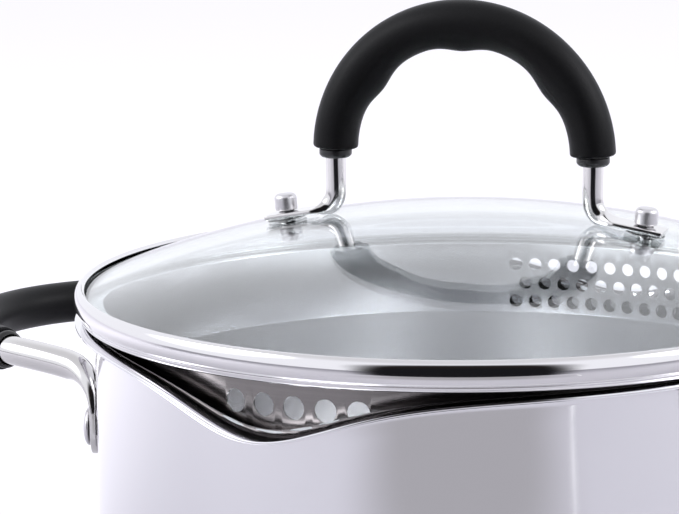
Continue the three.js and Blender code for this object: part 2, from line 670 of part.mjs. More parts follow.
function lidHandlePoints() {
  const half = (side) => {
    // Down the slope, away from the axis, and square to the glass.
    const outward = new THREE.Vector3(side * Math.cos(glassSlope), 0, -Math.sin(glassSlope));
    const normal = new THREE.Vector3(side * Math.sin(glassSlope), 0, Math.cos(glassSlope));
    const foot = new THREE.Vector3(side * LID_RIVET_X, 0, lidRivetSeat.z);
    const seat = foot.addScaledVector(normal, tabLift);
    const tip = seat.clone().addScaledVector(outward, LID_TAB_TIP_X - LID_RIVET_X);
    // The bend's circle touches the tab's line and the vertical leg.
    const turn = 90 - THREE.MathUtils.radToDeg(glassSlope);
    const centreX = side * (LID_LEG_X + LID_BEND_RADIUS);
    const along = (centreX - seat.x - normal.x * LID_BEND_RADIUS) / outward.x;
    const centre = seat.clone().addScaledVector(outward, along).addScaledVector(normal, LID_BEND_RADIUS);
    const towardsLeg = outward.clone().negate();
    const away = normal.clone().negate();
    return [tip, seat, ...bend(centre, away, towardsLeg, LID_BEND_RADIUS, turn, BEND_STEPS)];
  };
  const loopCentre = new THREE.Vector3(0, 0, LID_LOOP_CENTRE_Z);
  const [left, up] = [new THREE.Vector3(-1, 0, 0), new THREE.Vector3(0, 0, 1)];
  const loop = bend(loopCentre, left, up, LID_LEG_X, 180, LOOP_STEPS);
  return [...half(-1), ...loop, ...half(1).reverse()];
}

// The grip's inner flank has a bump at its top and one on each shoulder, with finger hollows between them.
function gripBump(angleFromTop) {
  const bump = (centre) => Math.exp(-(((angleFromTop - centre) / LID_GRIP_BUMP_SPREAD) ** 2));
  return LID_GRIP_BUMP * (bump(-LID_GRIP_BUMP_ANGLE) + bump(0) + bump(LID_GRIP_BUMP_ANGLE));
}

function makeLidHandle() {
  const curve = new THREE.CatmullRomCurve3(lidHandlePoints(), false, 'centripetal');
  const length = curve.getLength();
  const gripSpan = Math.PI * LID_LEG_X - 2 * LID_GRIP_END_LIFT;
  const gripStart = (length - gripSpan) / 2 / length;
  const tip = LID_TIP_LENGTH / length;
  const tabEnd = (LID_TAB_TIP_X - LID_RIVET_X + LID_TAB_FLAT) / length;
  const rodStart = (LID_TAB_TIP_X - LID_RIVET_X + LID_TAB_SWELL) / length;
  const legStations = [
    ...stationsBetween(0, tip, 2),
    ...stationsBetween(tabEnd, rodStart, 6),
  ];
  const gripStations = stationsBetween(gripStart, 1 - gripStart, 24);
  const mirrored = legStations.map((station) => 1 - station).reverse();
  const rodStations = [...legStations, ...gripStations, ...mirrored];
  // At the left tip the rod runs inwards, so this normal points away from the glass there.
  const upward = new THREE.Vector3(0, 0, 1);
  const section = tabbedSection({
    rodRadius: LID_ROD_RADIUS,
    halfWidth: LID_TAB_HALF_WIDTH,
    halfThickness: LID_TAB_HALF_THICKNESS,
    tipShare: LID_TIP_WIDTH_SHARE,
    tipEnd: tip,
    tabEnd,
    rodStart,
  });
  const rod = sweptBar(curve, rodStations, upward, ROD_FACETS, section);
  const gripSection = (station) => {
    const angleFromTop = ((station - 0.5) * length) / LID_LEG_X;
    return { thickness: LID_GRIP_RADIUS, width: LID_GRIP_RADIUS, power: 1, bulge: gripBump(angleFromTop) };
  };
  const grip = sweptBar(curve, gripStations, upward, GRIP_FACETS, gripSection);
  const boreStart = gripStart - BORE_OVERRUN;
  const boreStations = [boreStart, ...gripStations, 1 - boreStart];
  const bore = sweptBar(curve, boreStations, upward, ROD_FACETS, boreSection(LID_ROD_RADIUS));

  const handle = new THREE.Group();
  const tabHoles = bothSides(lidRivetHole(LID_RIVET_SHANK_RADIUS + GAP));
  handle.add(
    makeMesh('lid_handle_rod', cut(rod, tabHoles), polishedSteel),
    makeMesh('lid_handle_grip', cut(grip, [bore]), blackGrip),
  );
  const ringZ = LID_LOOP_CENTRE_Z + LID_GRIP_END_LIFT - GAP - LID_RING_LENGTH / 2;
  for (const [side, end] of [[-1, 'a'], [1, 'b']]) {
    const place = {
      centre: new THREE.Vector3(side * LID_LEG_X, 0, ringZ),
      outward: new THREE.Vector3(0, 0, -1),
    };
    handle.add(
      makeEndRing(`lid_handle_ring_${end}`, LID_ROD_RADIUS, LID_RING_RADIUS, LID_RING_LENGTH, place),
      ...makeLidFastening(end, side),
    );
  }
  return handle;
}

// One lid rivet with its clear gasket on the glass and its clear washer under it.
function makeLidFastening(end, side) {
  const tilted = (mesh, tilt) => {
    mesh.position.set(side * LID_RIVET_X, 0, lidRivetSeat.z);
    mesh.rotation.set(0, side * tilt, 0);
    return mesh;
  };
  const bore = LID_RIVET_SHANK_RADIUS + GAP;
  const gasketBore = bore + GAP;
  const gasket = ring(gasketBore, LID_GASKET_RADIUS, GAP, GAP + LID_GASKET_THICKNESS, SMALL_STEPS);
  const washerTop = -GLASS_THICKNESS - GAP;
  const washerBottom = washerTop - LID_WASHER_THICKNESS;
  const washer = ring(gasketBore, LID_GASKET_RADIUS, washerBottom, washerTop, SMALL_STEPS);
  const headBase = tabLift + LID_TAB_HALF_THICKNESS + 1.5 * GAP;
  const footBase = washerBottom - 2 * GAP;
  const rivet = [
    [0, footBase - LID_RIVET_FOOT_HEIGHT],
    [LID_RIVET_FOOT_RADIUS * 0.8, footBase - LID_RIVET_FOOT_HEIGHT],
    [LID_RIVET_FOOT_RADIUS, footBase],
    [LID_RIVET_SHANK_RADIUS, footBase],
    [LID_RIVET_SHANK_RADIUS, headBase],
    [LID_RIVET_HEAD_RADIUS, headBase],
    [LID_RIVET_HEAD_RADIUS, headBase + LID_RIVET_HEAD_HEIGHT - LID_RIVET_CHAMFER],
    [LID_RIVET_HEAD_RADIUS - LID_RIVET_CHAMFER, headBase + LID_RIVET_HEAD_HEIGHT],
    [0, headBase + LID_RIVET_HEAD_HEIGHT],
  ];
  return [
    tilted(makeMesh(`lid_gasket_${end}`, gasket, clearSilicone), glassSlope),
    tilted(makeMesh(`lid_washer_${end}`, washer, clearSilicone), glassSlope),
    tilted(makeMesh(`lid_rivet_${end}`, turned(rivet, SMALL_STEPS), polishedSteel), LID_RIVET_LEAN),
  ];
}

// ---------------------------------------------------------------- assembly

const rightHandle = makeSideHandle('right');
const leftHandle = makeSideHandle('left');
leftHandle.rotation.z = Math.PI;
const lidHandle = makeLidHandle();
lidHandle.rotation.z = LID_HANDLE_TURN;
const lid = new THREE.Group();
lid.rotation.z = LID_REST_TURN;
lid.add(makeRimBand(), makeGlass(), makeSkirt(), lidHandle);
const saucepan = new THREE.Group();
saucepan.add(makePot(), rightHandle, leftHandle, lid);

export default saucepan;
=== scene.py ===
import json
import math

import bmesh
import bpy
import numpy as np
from mathutils import Matrix, Vector


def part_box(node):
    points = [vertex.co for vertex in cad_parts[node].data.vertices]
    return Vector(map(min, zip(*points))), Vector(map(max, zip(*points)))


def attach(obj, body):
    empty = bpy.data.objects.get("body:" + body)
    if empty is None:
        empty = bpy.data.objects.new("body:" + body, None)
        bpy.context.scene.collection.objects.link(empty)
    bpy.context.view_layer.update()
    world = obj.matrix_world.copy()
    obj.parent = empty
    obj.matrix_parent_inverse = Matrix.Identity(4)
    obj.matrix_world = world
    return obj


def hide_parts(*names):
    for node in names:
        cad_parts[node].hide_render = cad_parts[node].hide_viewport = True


# A stainless steel saucepan with pouring spouts, riveted loop handles and a glass strainer lid.
# Shapes are worked out in millimetres in the model's own frame and stored in metres.
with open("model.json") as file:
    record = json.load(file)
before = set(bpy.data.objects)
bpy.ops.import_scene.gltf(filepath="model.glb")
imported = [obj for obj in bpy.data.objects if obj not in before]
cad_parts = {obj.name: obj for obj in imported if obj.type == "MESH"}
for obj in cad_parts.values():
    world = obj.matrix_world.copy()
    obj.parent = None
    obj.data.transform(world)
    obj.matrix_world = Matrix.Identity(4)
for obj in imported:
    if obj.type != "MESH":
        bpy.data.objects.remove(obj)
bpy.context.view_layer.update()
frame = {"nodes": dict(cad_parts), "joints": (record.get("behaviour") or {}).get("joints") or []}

MM = 0.001
GAP = 0.3
ROUND_STEPS = 360
SMALL_STEPS = 64
BEND_STEPS = 4
LOOP_STEPS = 20
ROD_FACETS = 48
SLEEVE_FACETS = 64
CUTTER_FACETS = 40
CROWN_POINTS = 14
TIP_POINTS = 14
CORNER_STEPS = 14
BASE_CORNER_STEPS = 8
PATH_SAMPLES = 24
SIDE_ROD_RINGS = 260
LID_ROD_RINGS = 220
SLEEVE_RINGS = 140
GLASS_STEPS = 44
JOIN_DISTANCE = 0.002
FACE_MARGIN = 0.1
WALL_CUTTER_REACH = 4
TAB_CUTTER_REACH = 8
HOLE_CUTTER_REACH = 6
LID_CUTTER_REACH = 12


# ------------------------------------------------------------------ sizes read from the frame

def corners(node):
    """The node's lowest and highest corners, in millimetres."""
    low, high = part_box(node)
    return np.array(low) / MM, np.array(high) / MM


def middle(node):
    low, high = corners(node)
    return (low + high) / 2


def reach(node):
    """The node's greatest distance from the pan's axis, in millimetres."""
    points = np.array([v.co for v in frame["nodes"][node].data.vertices])
    return float(np.hypot(points[:, 0], points[:, 1]).max()) / MM


def joint(name):
    return next(j for j in frame["joints"] if j["name"] == name)


LID_Z = joint("lid_turn")["pos_m"][2] / MM

# Sizes are in millimetres, angles in radians, and a share is a part of one.
POT_INNER_RADIUS = 100.0
POT_WALL = 0.8
POT_OUTER_RADIUS = POT_INNER_RADIUS + POT_WALL
POT_CORNER_RADIUS = 12.0
POT_BOTTOM_Z = corners("pot_body")[0][2]
POT_FLOOR_Z = POT_BOTTOM_Z + POT_WALL
RIM_TOP_Z = 120.2
RIM_OVERHANG = 6.0
RIM_EDGE_RADIUS = POT_INNER_RADIUS + RIM_OVERHANG
FLARE_HEIGHT = 4.0
FLARE_BEND = 3.4
FLARE_START_Z = RIM_TOP_Z - FLARE_HEIGHT
RIM_DROOP = 0.4
RIM_EDGE_TURN = 1.2
RIM_EDGE_BULGE = 0.35
SPOUT_DIP = 11.2
SPOUT_SPREAD = math.radians(22)
SPOUT_EXTRA_OVERHANG = 3.5
SPOUT_EXTRA_DROOP = 1.7
SPOUT_BLEND_Z = 88.0
INSIDE_RADIUS = POT_INNER_RADIUS + 0.05
INSIDE_TOP_Z = 101.0

BASE_RADIUS = reach("base_cap")
BASE_CAP_THICKNESS = 0.6
BASE_CORNER_RADIUS = 3.0

SIDE_ROD_RADIUS = 4.1
SIDE_LEG_Y = 42.3
SIDE_LOOP_CENTRE_X = 113.9
SIDE_LOOP_Z = middle("right_handle_grip")[2]
SIDE_TAB_BOTTOM_Z = corners("right_handle_rod")[0][2]
SIDE_RIVET_Z = middle("right_handle_rivet_a")[2]
SIDE_LEG_FOOT_Z = SIDE_LOOP_Z - 1.7
SIDE_BEND_RADIUS = 10.0
SIDE_TAB_HALF_WIDTH = 7.0
SIDE_TAB_HALF_THICKNESS = 1.0
SIDE_TIP_LENGTH = 7.0
SIDE_TIP_WIDTH_SHARE = 0.0
SIDE_SWELL_DROP = 3.0
SIDE_TAB_STANDOFF = 1.1
SIDE_RIVET_SHANK_RADIUS = 2.5
SIDE_RIVET_HEAD_RADIUS = 5.4
SIDE_RIVET_HEAD_HEIGHT = 2.0
SIDE_RIVET_HEAD_EDGE = 0.35
SIDE_RIVET_FOOT_RADIUS = 4.6
SIDE_RIVET_INNER_HEIGHT = 1.4
SIDE_GRIP_RADIUS = 6.2
SIDE_GRIP_END_ANGLE = math.radians(17.5)
SIDE_RING_RADIUS = 5.4
SIDE_RING_LENGTH = 2.3

BAND_INNER_RADIUS = 103.0
BAND_OUTER_RADIUS = reach("lid_rim_band")
BAND_SHEET = 0.7
BAND_CROWN_Z = corners("lid_rim_band")[1][2]
BAND_BOTTOM_Z = corners("lid_rim_band")[0][2]
BAND_LIP_RADIUS = 102.7
GLASS_SPHERE_RADIUS = 276.0
GLASS_APEX_Z = corners("lid_glass")[1][2]
GLASS_THICKNESS = 4.0
GLASS_EDGE_RADIUS = reach("lid_glass")
SKIRT_OUTER_RADIUS = 98.0
SKIRT_SHEET = 0.6
SKIRT_FLANGE_RADIUS = 103.3
SKIRT_FLANGE_TOP_Z = corners("strainer_skirt")[1][2]
SKIRT_BOTTOM_Z = corners("strainer_skirt")[0][2]
LARGE_HOLES = {"radius": 3.0, "pitch": math.radians(5.06), "count": 5, "z": LID_Z - 14.7}
SMALL_HOLE_ROWS = [
    {"radius": 2.0, "pitch": math.radians(3.5), "count": 10, "z": LID_Z - 12.5},
    {"radius": 2.0, "pitch": math.radians(3.5), "count": 9, "z": LID_Z - 18.6},
    {"radius": 2.0, "pitch": math.radians(3.5), "count": 10, "z": LID_Z - 24.4},
]

LID_REST_TURN = math.radians(3)
LID_HANDLE_TURN = math.radians(10.3)
LID_ROD_RADIUS = 2.8
LID_LEG_X = 36.1
LID_GRIP_RADIUS = 6.2
LID_LOOP_CENTRE_Z = corners("lid_handle_grip")[1][2] - LID_LEG_X - LID_GRIP_RADIUS
LID_GRIP_END_LIFT = 1.0
LID_BEND_RADIUS = 5.2
LID_TAB_TIP_X = 55.5
LID_TAB_FLAT = 8.5
LID_TAB_SWELL = 13.5
LID_TAB_HALF_WIDTH = 4.6
LID_TAB_HALF_THICKNESS = 0.7
LID_TIP_LENGTH = 1.0
LID_TIP_WIDTH_SHARE = 0.9
TAB_SQUARENESS = 0.26
TIP_THICKNESS_SHARE = 0.85
LID_GASKET_THICKNESS = 0.4
LID_GASKET_RADIUS = 5.4
LID_WASHER_THICKNESS = 0.8
LID_RIVET_X = 50.3
LID_RIVET_LEAN = math.radians(5)
LID_RIVET_SHANK_RADIUS = 1.9
LID_RIVET_HEAD_RADIUS = 3.1
LID_RIVET_HEAD_HEIGHT = 4.5
LID_RIVET_FOOT_HEIGHT = 1.8
LID_RIVET_FOOT_RADIUS = 2.9
LID_GRIP_BUMP = 1.6
LID_GRIP_BUMP_ANGLE = math.radians(52)
LID_GRIP_BUMP_SPREAD = math.radians(11)
LID_RING_RADIUS = 4.5
RING_CHAMFER = 0.8
LID_RING_LENGTH = 2.4

# The camera, in metres and radians: its place about the pan's axis, and where it points from there.
CAMERA_AROUND = math.radians(28.3)
CAMERA_DISTANCE = 0.8095
CAMERA_RISE = 0.1587
CAMERA_DOWN = 0.1858
CAMERA_ASIDE = 0.0417
CAMERA_ROLL = -0.012
CAMERA_LENS = 159.9
CAMERA_SENSOR = 36.0

# The studio, in metres and watts: a white sweep, a little greyer overhead and dark only behind the camera.
FRONT = Vector((math.sin(CAMERA_AROUND), -math.cos(CAMERA_AROUND), 0))
ASIDE = Vector((math.cos(CAMERA_AROUND), math.sin(CAMERA_AROUND), 0))
SWEEP_COLOR = (1.1, 1.11, 1.17)
SWEEP_STRENGTH = 1.0
OVERHEAD_COLOR = (0.85, 0.85, 0.89)
OVERHEAD_HEIGHTS = (0.6, 0.95)
DARK_COLOR = (0.02, 0.016, 0.016)
DARK_ELEVATION = math.radians(12)
DARK_FULL = math.cos(math.radians(22))
DARK_GONE = math.cos(math.radians(36))
FLOOR_SIZE = 14
FLOOR_COLOR = (0.43, 0.423, 0.455)
# The floor's painted glow: its strength at the front and at the back, and where in metres it rises.
FLOOR_GLOW_FRONT = 0.0
FLOOR_GLOW_BACK = 1.25
FLOOR_GLOW_REACH = (-0.1, 0.5)
# Soft-edged oval cards that glow with their colour and that only reflections see: painted reflections.
# A painted shade on the floor before the pan, seen in reflections.
FRONT_CARD = {"width": 0.60, "depth": 0.74, "out": 0.55, "lift": 0.002, "color": (0.47, 0.46, 0.49),
              "inner": 0.5}
# A painted dark reflection: a dark sheet between the pan and the camera.
DARK_CARD = {"width": 0.95, "depth": 0.62, "out": 0.74, "lift": 0.10, "color": (0.012, 0.012, 0.014),
             "inner": 0.62}
# A painted thin bright line in the reflections.
STRIP_CARD = {"width": 0.009, "depth": 0.3, "out": 0.48, "lift": 0.004, "color": (1.2, 1.2, 1.25),
              "inner": 0.3}
STRIP_AROUND = math.radians(29)
# Painted highlights: bright panels at the sides, seen in reflections.
SIDE_CARD = {"width": 1.3, "depth": 1.3, "out": 1.1, "lift": 0.9, "color": (6.0, 6.0, 6.2), "inner": 0.1}
SIDE_CARD_AROUND = math.radians(80)
SOFTBOX_WIDTH = 0.7
SOFTBOX_HEIGHT = 1.0
SOFTBOX_ASIDE = 1.1
SOFTBOX_RISE = 0.85
LEFT_SOFTBOX = {"front": 0.2, "power": 16}
RIGHT_SOFTBOX = {"front": 0.1, "power": 13}


# ------------------------------------------------------------------ materials

POLISH_SCALE = 1400.0
POLISH_DEPTH = 0.00002
SATIN_SCALE = 14.0
LATHE_SCALE = 1800.0
LATHE_DEPTH = 0.00004
GRAIN_SCALE = 1500.0
GRAIN_DEPTH = 0.0001


def new_material(name, **inputs):
    """A Principled material with these socket values, and its node tree."""
    material = bpy.data.materials.new(name)
    material.use_nodes = True
    tree = material.node_tree
    shader = tree.nodes["Principled BSDF"]
    for key, value in inputs.items():
        shader.inputs[key.replace("_", " ")].default_value = value
    return material, tree, shader


def add_noise(tree, coordinates, scale, detail=3.0):
    noise = tree.nodes.new("ShaderNodeTexNoise")
    noise.inputs["Scale"].default_value = scale
    noise.inputs["Detail"].default_value = detail
    tree.links.new(coordinates, noise.inputs["Vector"])
    return noise.outputs["Fac"]


def add_ramp(tree, value, low, high):
    """Maps a 0 to 1 value onto the range low to high."""
    ramp = tree.nodes.new("ShaderNodeMapRange")
    ramp.inputs["From Min"].default_value = 0.3
    ramp.inputs["From Max"].default_value = 0.7
    ramp.inputs["To Min"].default_value = low
    ramp.inputs["To Max"].default_value = high
    tree.links.new(value, ramp.inputs["Value"])
    return ramp.outputs["Result"]


def add_tint(tree, value, dark, light):
    """Mixes two colours by a 0 to 1 value."""
    mix = tree.nodes.new("ShaderNodeMix")
    mix.data_type = "RGBA"
    colors = [socket for socket in mix.inputs if socket.type == "RGBA"]
    colors[0].default_value = (*dark, 1)
    colors[1].default_value = (*light, 1)
    tree.links.new(value, mix.inputs[0])
    return next(socket for socket in mix.outputs if socket.type == "RGBA")


def add_bump(tree, shader, height, strength, distance):
    bump = tree.nodes.new("ShaderNodeBump")
    bump.inputs["Strength"].default_value = strength
    bump.inputs["Distance"].default_value = distance
    tree.links.new(height, bump.inputs["Height"])
    tree.links.new(bump.outputs["Normal"], shader.inputs["Normal"])


def object_coordinates(tree):
    return tree.nodes.new("ShaderNodeTexCoord").outputs["Object"]


def turning_coordinates(tree):
    """Coordinates that are the same all the way round the pan's axis, so noise on them makes fine rings."""
    split = tree.nodes.new("ShaderNodeSeparateXYZ")
    tree.links.new(object_coordinates(tree), split.inputs["Vector"])
    squares = []
    for axis in "XY":
        square = tree.nodes.new("ShaderNodeMath")
        square.operation = "MULTIPLY"
        tree.links.new(split.outputs[axis], square.inputs[0])
        tree.links.new(split.outputs[axis], square.inputs[1])
        squares.append(square.outputs[0])
    total = tree.nodes.new("ShaderNodeMath")
    total.operation = "ADD"
    tree.links.new(squares[0], total.inputs[0])
    tree.links.new(squares[1], total.inputs[1])
    root = tree.nodes.new("ShaderNodeMath")
    root.operation = "SQRT"
    tree.links.new(total.outputs[0], root.inputs[0])
    joined = tree.nodes.new("ShaderNodeCombineXYZ")
    tree.links.new(root.outputs[0], joined.inputs["X"])
    tree.links.new(split.outputs["Z"], joined.inputs["Y"])
    return joined.outputs["Vector"]


def polished_steel(name, dark, light, smooth, worn, haze_scale=22.0):
    """Polished steel: a faint change of tone, and a slow change of gloss with hair-fine polishing marks."""
    material, tree, shader = new_material(name, Metallic=1.0)
    place = object_coordinates(tree)
    haze = add_noise(tree, place, haze_scale)
    tree.links.new(add_tint(tree, haze, dark, light), shader.inputs["Base Color"])
    tree.links.new(add_ramp(tree, haze, smooth, worn), shader.inputs["Roughness"])
    add_bump(tree, shader, add_noise(tree, place, POLISH_SCALE, 2.0), 0.05, POLISH_DEPTH)
    return material


def satin_steel(name, dark, light, smooth, worn):
    """Satin steel with a broad, soft change of tone and gloss."""
    material, tree, shader = new_material(name, Metallic=1.0)
    haze = add_noise(tree, object_coordinates(tree), SATIN_SCALE, 2.0)
    tree.links.new(add_tint(tree, haze, dark, light), shader.inputs["Base Color"])
    tree.links.new(add_ramp(tree, haze, smooth, worn), shader.inputs["Roughness"])
    return material


def turned_steel(name, dark, light, smooth, worn):
    """Satin steel finished on a lathe, with fine rings round the pan's axis."""
    material, tree, shader = new_material(name, Metallic=1.0)
    rings = add_noise(tree, turning_coordinates(tree), LATHE_SCALE, 4.0)
    tree.links.new(add_tint(tree, rings, dark, light), shader.inputs["Base Color"])
    tree.links.new(add_ramp(tree, rings, smooth, worn), shader.inputs["Roughness"])
    add_bump(tree, shader, rings, 0.25, LATHE_DEPTH)
    return material


def soft_touch_black(name):
    """Black soft-touch coating: fine even grain, matt, with a grey bloom at grazing angles."""
    material, tree, shader = new_material(name, Sheen_Weight=0.04, Sheen_Roughness=0.4,
                                          Specular_IOR_Level=0.16)
    shader.inputs["Sheen Tint"].default_value = (0.62, 0.62, 0.68, 1)
    place = object_coordinates(tree)
    grain = add_noise(tree, place, GRAIN_SCALE, 4.0)
    cloud = add_noise(tree, place, 60.0)
    tree.links.new(add_tint(tree, grain, (0.001, 0.001, 0.0012), (0.005, 0.005, 0.006)),
                   shader.inputs["Base Color"])
    tree.links.new(add_ramp(tree, cloud, 0.42, 0.5), shader.inputs["Roughness"])
    add_bump(tree, shader, grain, 0.35, GRAIN_DEPTH)
    return material


def moulded_black(name):
    """Smooth black moulding with a slight unevenness in its gloss."""
    material, tree, shader = new_material(name)
    place = object_coordinates(tree)
    cloud = add_noise(tree, place, 180.0)
    tree.links.new(add_tint(tree, cloud, (0.006, 0.006, 0.007), (0.014, 0.014, 0.016)),
                   shader.inputs["Base Color"])
    tree.links.new(add_ramp(tree, cloud, 0.24, 0.34), shader.inputs["Roughness"])
    return material


def clear_material(name, color, ior, smooth, worn):
    """A clear solid whose gloss changes faintly, as on glass that has been wiped."""
    material, tree, shader = new_material(name, Transmission_Weight=1.0, IOR=ior)
    shader.inputs["Base Color"].default_value = (*color, 1)
    haze = add_noise(tree, object_coordinates(tree), 30.0)
    tree.links.new(add_ramp(tree, haze, smooth, worn), shader.inputs["Roughness"])
    return material


MATERIALS = {
    "pot_steel": polished_steel("pot_steel", (0.80, 0.795, 0.82), (0.84, 0.835, 0.86), 0.06, 0.1),
    "inside_steel": satin_steel("inside_steel", (0.93, 0.925, 0.94), (0.96, 0.955, 0.97), 0.2, 0.25),
    "base_steel": turned_steel("base_steel", (0.60, 0.60, 0.62), (0.70, 0.70, 0.72), 0.22, 0.34),
    "core_aluminium": turned_steel("core_aluminium", (0.62, 0.63, 0.64), (0.7, 0.71, 0.72), 0.4, 0.5),
    "band_steel": polished_steel("band_steel", (0.74, 0.73, 0.745), (0.80, 0.79, 0.80), 0.045, 0.07),
    # The strainer's outer faces sit in the narrow gaps by the pot's wall and under the band, so their steel
    # is painted dark: a painted shade.
    "strainer_steel": turned_steel("strainer_steel", (0.21, 0.198, 0.195), (0.28, 0.265, 0.26), 0.14, 0.24),
    "lid_glass": clear_material("lid_glass", (0.95, 0.985, 0.99), 1.5, 0.0, 0.012),
    "grip_black": soft_touch_black("grip_black"),
    "ring_black": moulded_black("ring_black"),
    "clear_silicone": clear_material("clear_silicone", (0.9, 0.93, 0.92), 1.41, 0.12, 0.2),
    "rivet_steel": polished_steel("rivet_steel", (0.62, 0.61, 0.63), (0.74, 0.73, 0.75), 0.3, 0.42, 300.0),
    "rod_steel": polished_steel("rod_steel", (0.66, 0.65, 0.645), (0.74, 0.73, 0.725), 0.05, 0.09, 60.0),
}


# ------------------------------------------------------------------ mesh helpers

def grid_faces(rows, columns, wrap_rows):
    """Quads over a grid of points whose columns run round and meet."""
    faces = []
    for i in range(rows if wrap_rows else rows - 1):
        for j in range(columns):
            k = (j + 1) % columns
            below = ((i + 1) % rows) * columns
            faces.append((i * columns + j, i * columns + k, below + k, below + j))
    return faces


def build_mesh(name, points, faces):
    """A closed mesh in metres, with doubled points joined and every face pointing out."""
    mesh = bpy.data.meshes.new(name)
    mesh.from_pydata((np.asarray(points) * MM).tolist(), [], faces)
    work = bmesh.new()
    work.from_mesh(mesh)
    bmesh.ops.remove_doubles(work, verts=work.verts, dist=JOIN_DISTANCE * MM)
    bmesh.ops.recalc_face_normals(work, faces=work.faces)
    work.to_mesh(mesh)
    work.free()
    return mesh


def add_piece(name, mesh, body, slot, node, sharp_degrees=35.0, extra=None):
    """A smooth-shaded piece that rides on a body and stands for a CAD node. Its faces numbered 1 take the
    extra finish."""
    mesh.shade_smooth()
    mesh.set_sharp_from_angle(angle=math.radians(sharp_degrees))
    numbers = [face.material_index for face in mesh.polygons]
    mesh.materials.clear()
    mesh.materials.append(MATERIALS[slot])
    if extra is not None:
        mesh.materials.append(MATERIALS[extra])
        mesh.polygons.foreach_set("material_index", numbers)
    piece = bpy.data.objects.new(name, mesh)
    bpy.context.scene.collection.objects.link(piece)
    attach(piece, body)
    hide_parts(node)


def eased(outline, radius, steps=4):
    """The outline with each inner corner replaced by a curve that starts up to radius away from it."""
    points = [np.array(outline[0], float)]
    for before, corner, after in zip(outline, outline[1:], outline[2:]):
        before, corner, after = (np.array(p, float) for p in (before, corner, after))
        back, ahead = before - corner, after - corner
        start = corner + back * min(0.5, radius / np.linalg.norm(back))
        end = corner + ahead * min(0.5, radius / np.linalg.norm(ahead))
        for t in np.linspace(0, 1, steps + 1):
            points.append((1 - t) ** 2 * start + 2 * t * (1 - t) * corner + t ** 2 * end)
    points.append(np.array(outline[-1], float))
    return points


def eased_loop(outline, radius, steps=4):
    """As eased(), for an outline that closes on itself, given without its last point."""
    wrapped = [outline[-1], *outline, outline[0]]
    return eased(wrapped, radius, steps)[1:-1]


def arc(centre_radius, centre_height, radius, from_degrees, to_degrees, steps):
    angles = np.radians(np.linspace(from_degrees, to_degrees, steps + 1))
    return [(centre_radius + radius * math.cos(a), centre_height + radius * math.sin(a)) for a in angles]


def turned(outline, steps, closes):
    """Points and faces of a [radius, height] outline turned about +Z. The outline closes on itself, or else
    starts and ends on the axis."""
    outline = np.array(outline, float)
    angles = np.linspace(0, 2 * math.pi, steps, endpoint=False)
    around = np.stack([np.cos(angles), np.sin(angles)], axis=1)
    points = np.zeros((len(outline), steps, 3))
    points[:, :, :2] = outline[:, None, :1] * around[None]
    points[:, :, 2] = outline[:, None, 1]
    return points.reshape(-1, 3), grid_faces(len(outline), steps, closes)


def placed(points, matrix):
    """The points moved by a 4 by 4 matrix."""
    matrix = np.array(matrix)
    return points @ matrix[:3, :3].T + matrix[:3, 3]


def about_z(angle):
    return Matrix.Rotation(angle, 4, "Z")


def seat_matrix(seat, axis):
    """Puts a shape turned about +Z on a seat, with its axis along a direction."""
    return Matrix.Translation(seat) @ Vector(axis).to_track_quat("Z", "Y").to_matrix().to_4x4()


def pierce(mesh, cutters):
    """The mesh with round holes cut through it. Each cutter is (start, end, radius), in millimetres."""
    points, faces = [], []
    for start, end, radius in cutters:
        length = float(np.linalg.norm(np.subtract(end, start)))
        rod, rod_faces = turned([(0, 0), (radius, 0), (radius, length), (0, length)], CUTTER_FACETS, False)
        faces += [tuple(i + sum(map(len, points)) for i in face) for face in rod_faces]
        points.append(placed(rod, seat_matrix(Vector(start), np.subtract(end, start))))
    whole = bpy.data.objects.new("whole", mesh)
    tool = bpy.data.objects.new("tool", build_mesh("tool", np.concatenate(points), faces))
    for made in (whole, tool):
        bpy.context.scene.collection.objects.link(made)
    modifier = whole.modifiers.new("holes", "BOOLEAN")
    modifier.operation = "DIFFERENCE"
    modifier.solver = "EXACT"
    modifier.object = tool
    bpy.context.view_layer.update()
    result = bpy.data.meshes.new_from_object(whole.evaluated_get(bpy.context.evaluated_depsgraph_get()))
    for made in (whole, tool):
        bpy.data.objects.remove(made)
    return result


class Path:
    """A smooth curve through points (centripetal Catmull-Rom), measured along its own length."""

    def __init__(self, points):
        points = [np.array(p, float) for p in points]
        points = [2 * points[0] - points[1], *points, 2 * points[-1] - points[-2]]
        samples = []
        for p0, p1, p2, p3 in zip(points, points[1:], points[2:], points[3:]):
            samples.extend(self.segment(p0, p1, p2, p3, np.linspace(0, 1, PATH_SAMPLES, endpoint=False)))
        samples.append(points[-2])
        self.samples = np.array(samples)
        steps = np.linalg.norm(np.diff(self.samples, axis=0), axis=1)
        self.marks = np.concatenate([[0], np.cumsum(steps)])
        self.length = float(self.marks[-1])

    @staticmethod
    def segment(p0, p1, p2, p3, fractions):
        d0, d1, d2 = (max(np.linalg.norm(b - a) ** 0.5, 1e-6) for a, b in ((p0, p1), (p1, p2), (p2, p3)))
        leave = ((p1 - p0) / d0 - (p2 - p0) / (d0 + d1) + (p2 - p1) / d1) * d1
        arrive = ((p2 - p1) / d1 - (p3 - p1) / (d1 + d2) + (p3 - p2) / d2) * d1
        t = fractions[:, None]
        return (p1 + leave * t + (3 * (p2 - p1) - 2 * leave - arrive) * t ** 2
                + (2 * (p1 - p2) + leave + arrive) * t ** 3)

    def at(self, distances):
        return np.stack([np.interp(distances, self.marks, self.samples[:, k]) for k in range(3)], axis=-1)

    def frames(self, distances, first_normal):
        """Centres, normals and sides that don't twist about the curve."""
        step = 0.05
        inside = np.clip(distances, step, self.length - step)
        tangents = self.at(inside + step) - self.at(inside - step)
        tangents /= np.linalg.norm(tangents, axis=1)[:, None]
        normals = []
        normal = np.array(first_normal, float)
        for tangent in tangents:
            normal = normal - tangent * (normal @ tangent)
            normal /= np.linalg.norm(normal)
            normals.append(normal)
        normals = np.array(normals)
        return self.at(distances), normals, np.cross(tangents, normals)


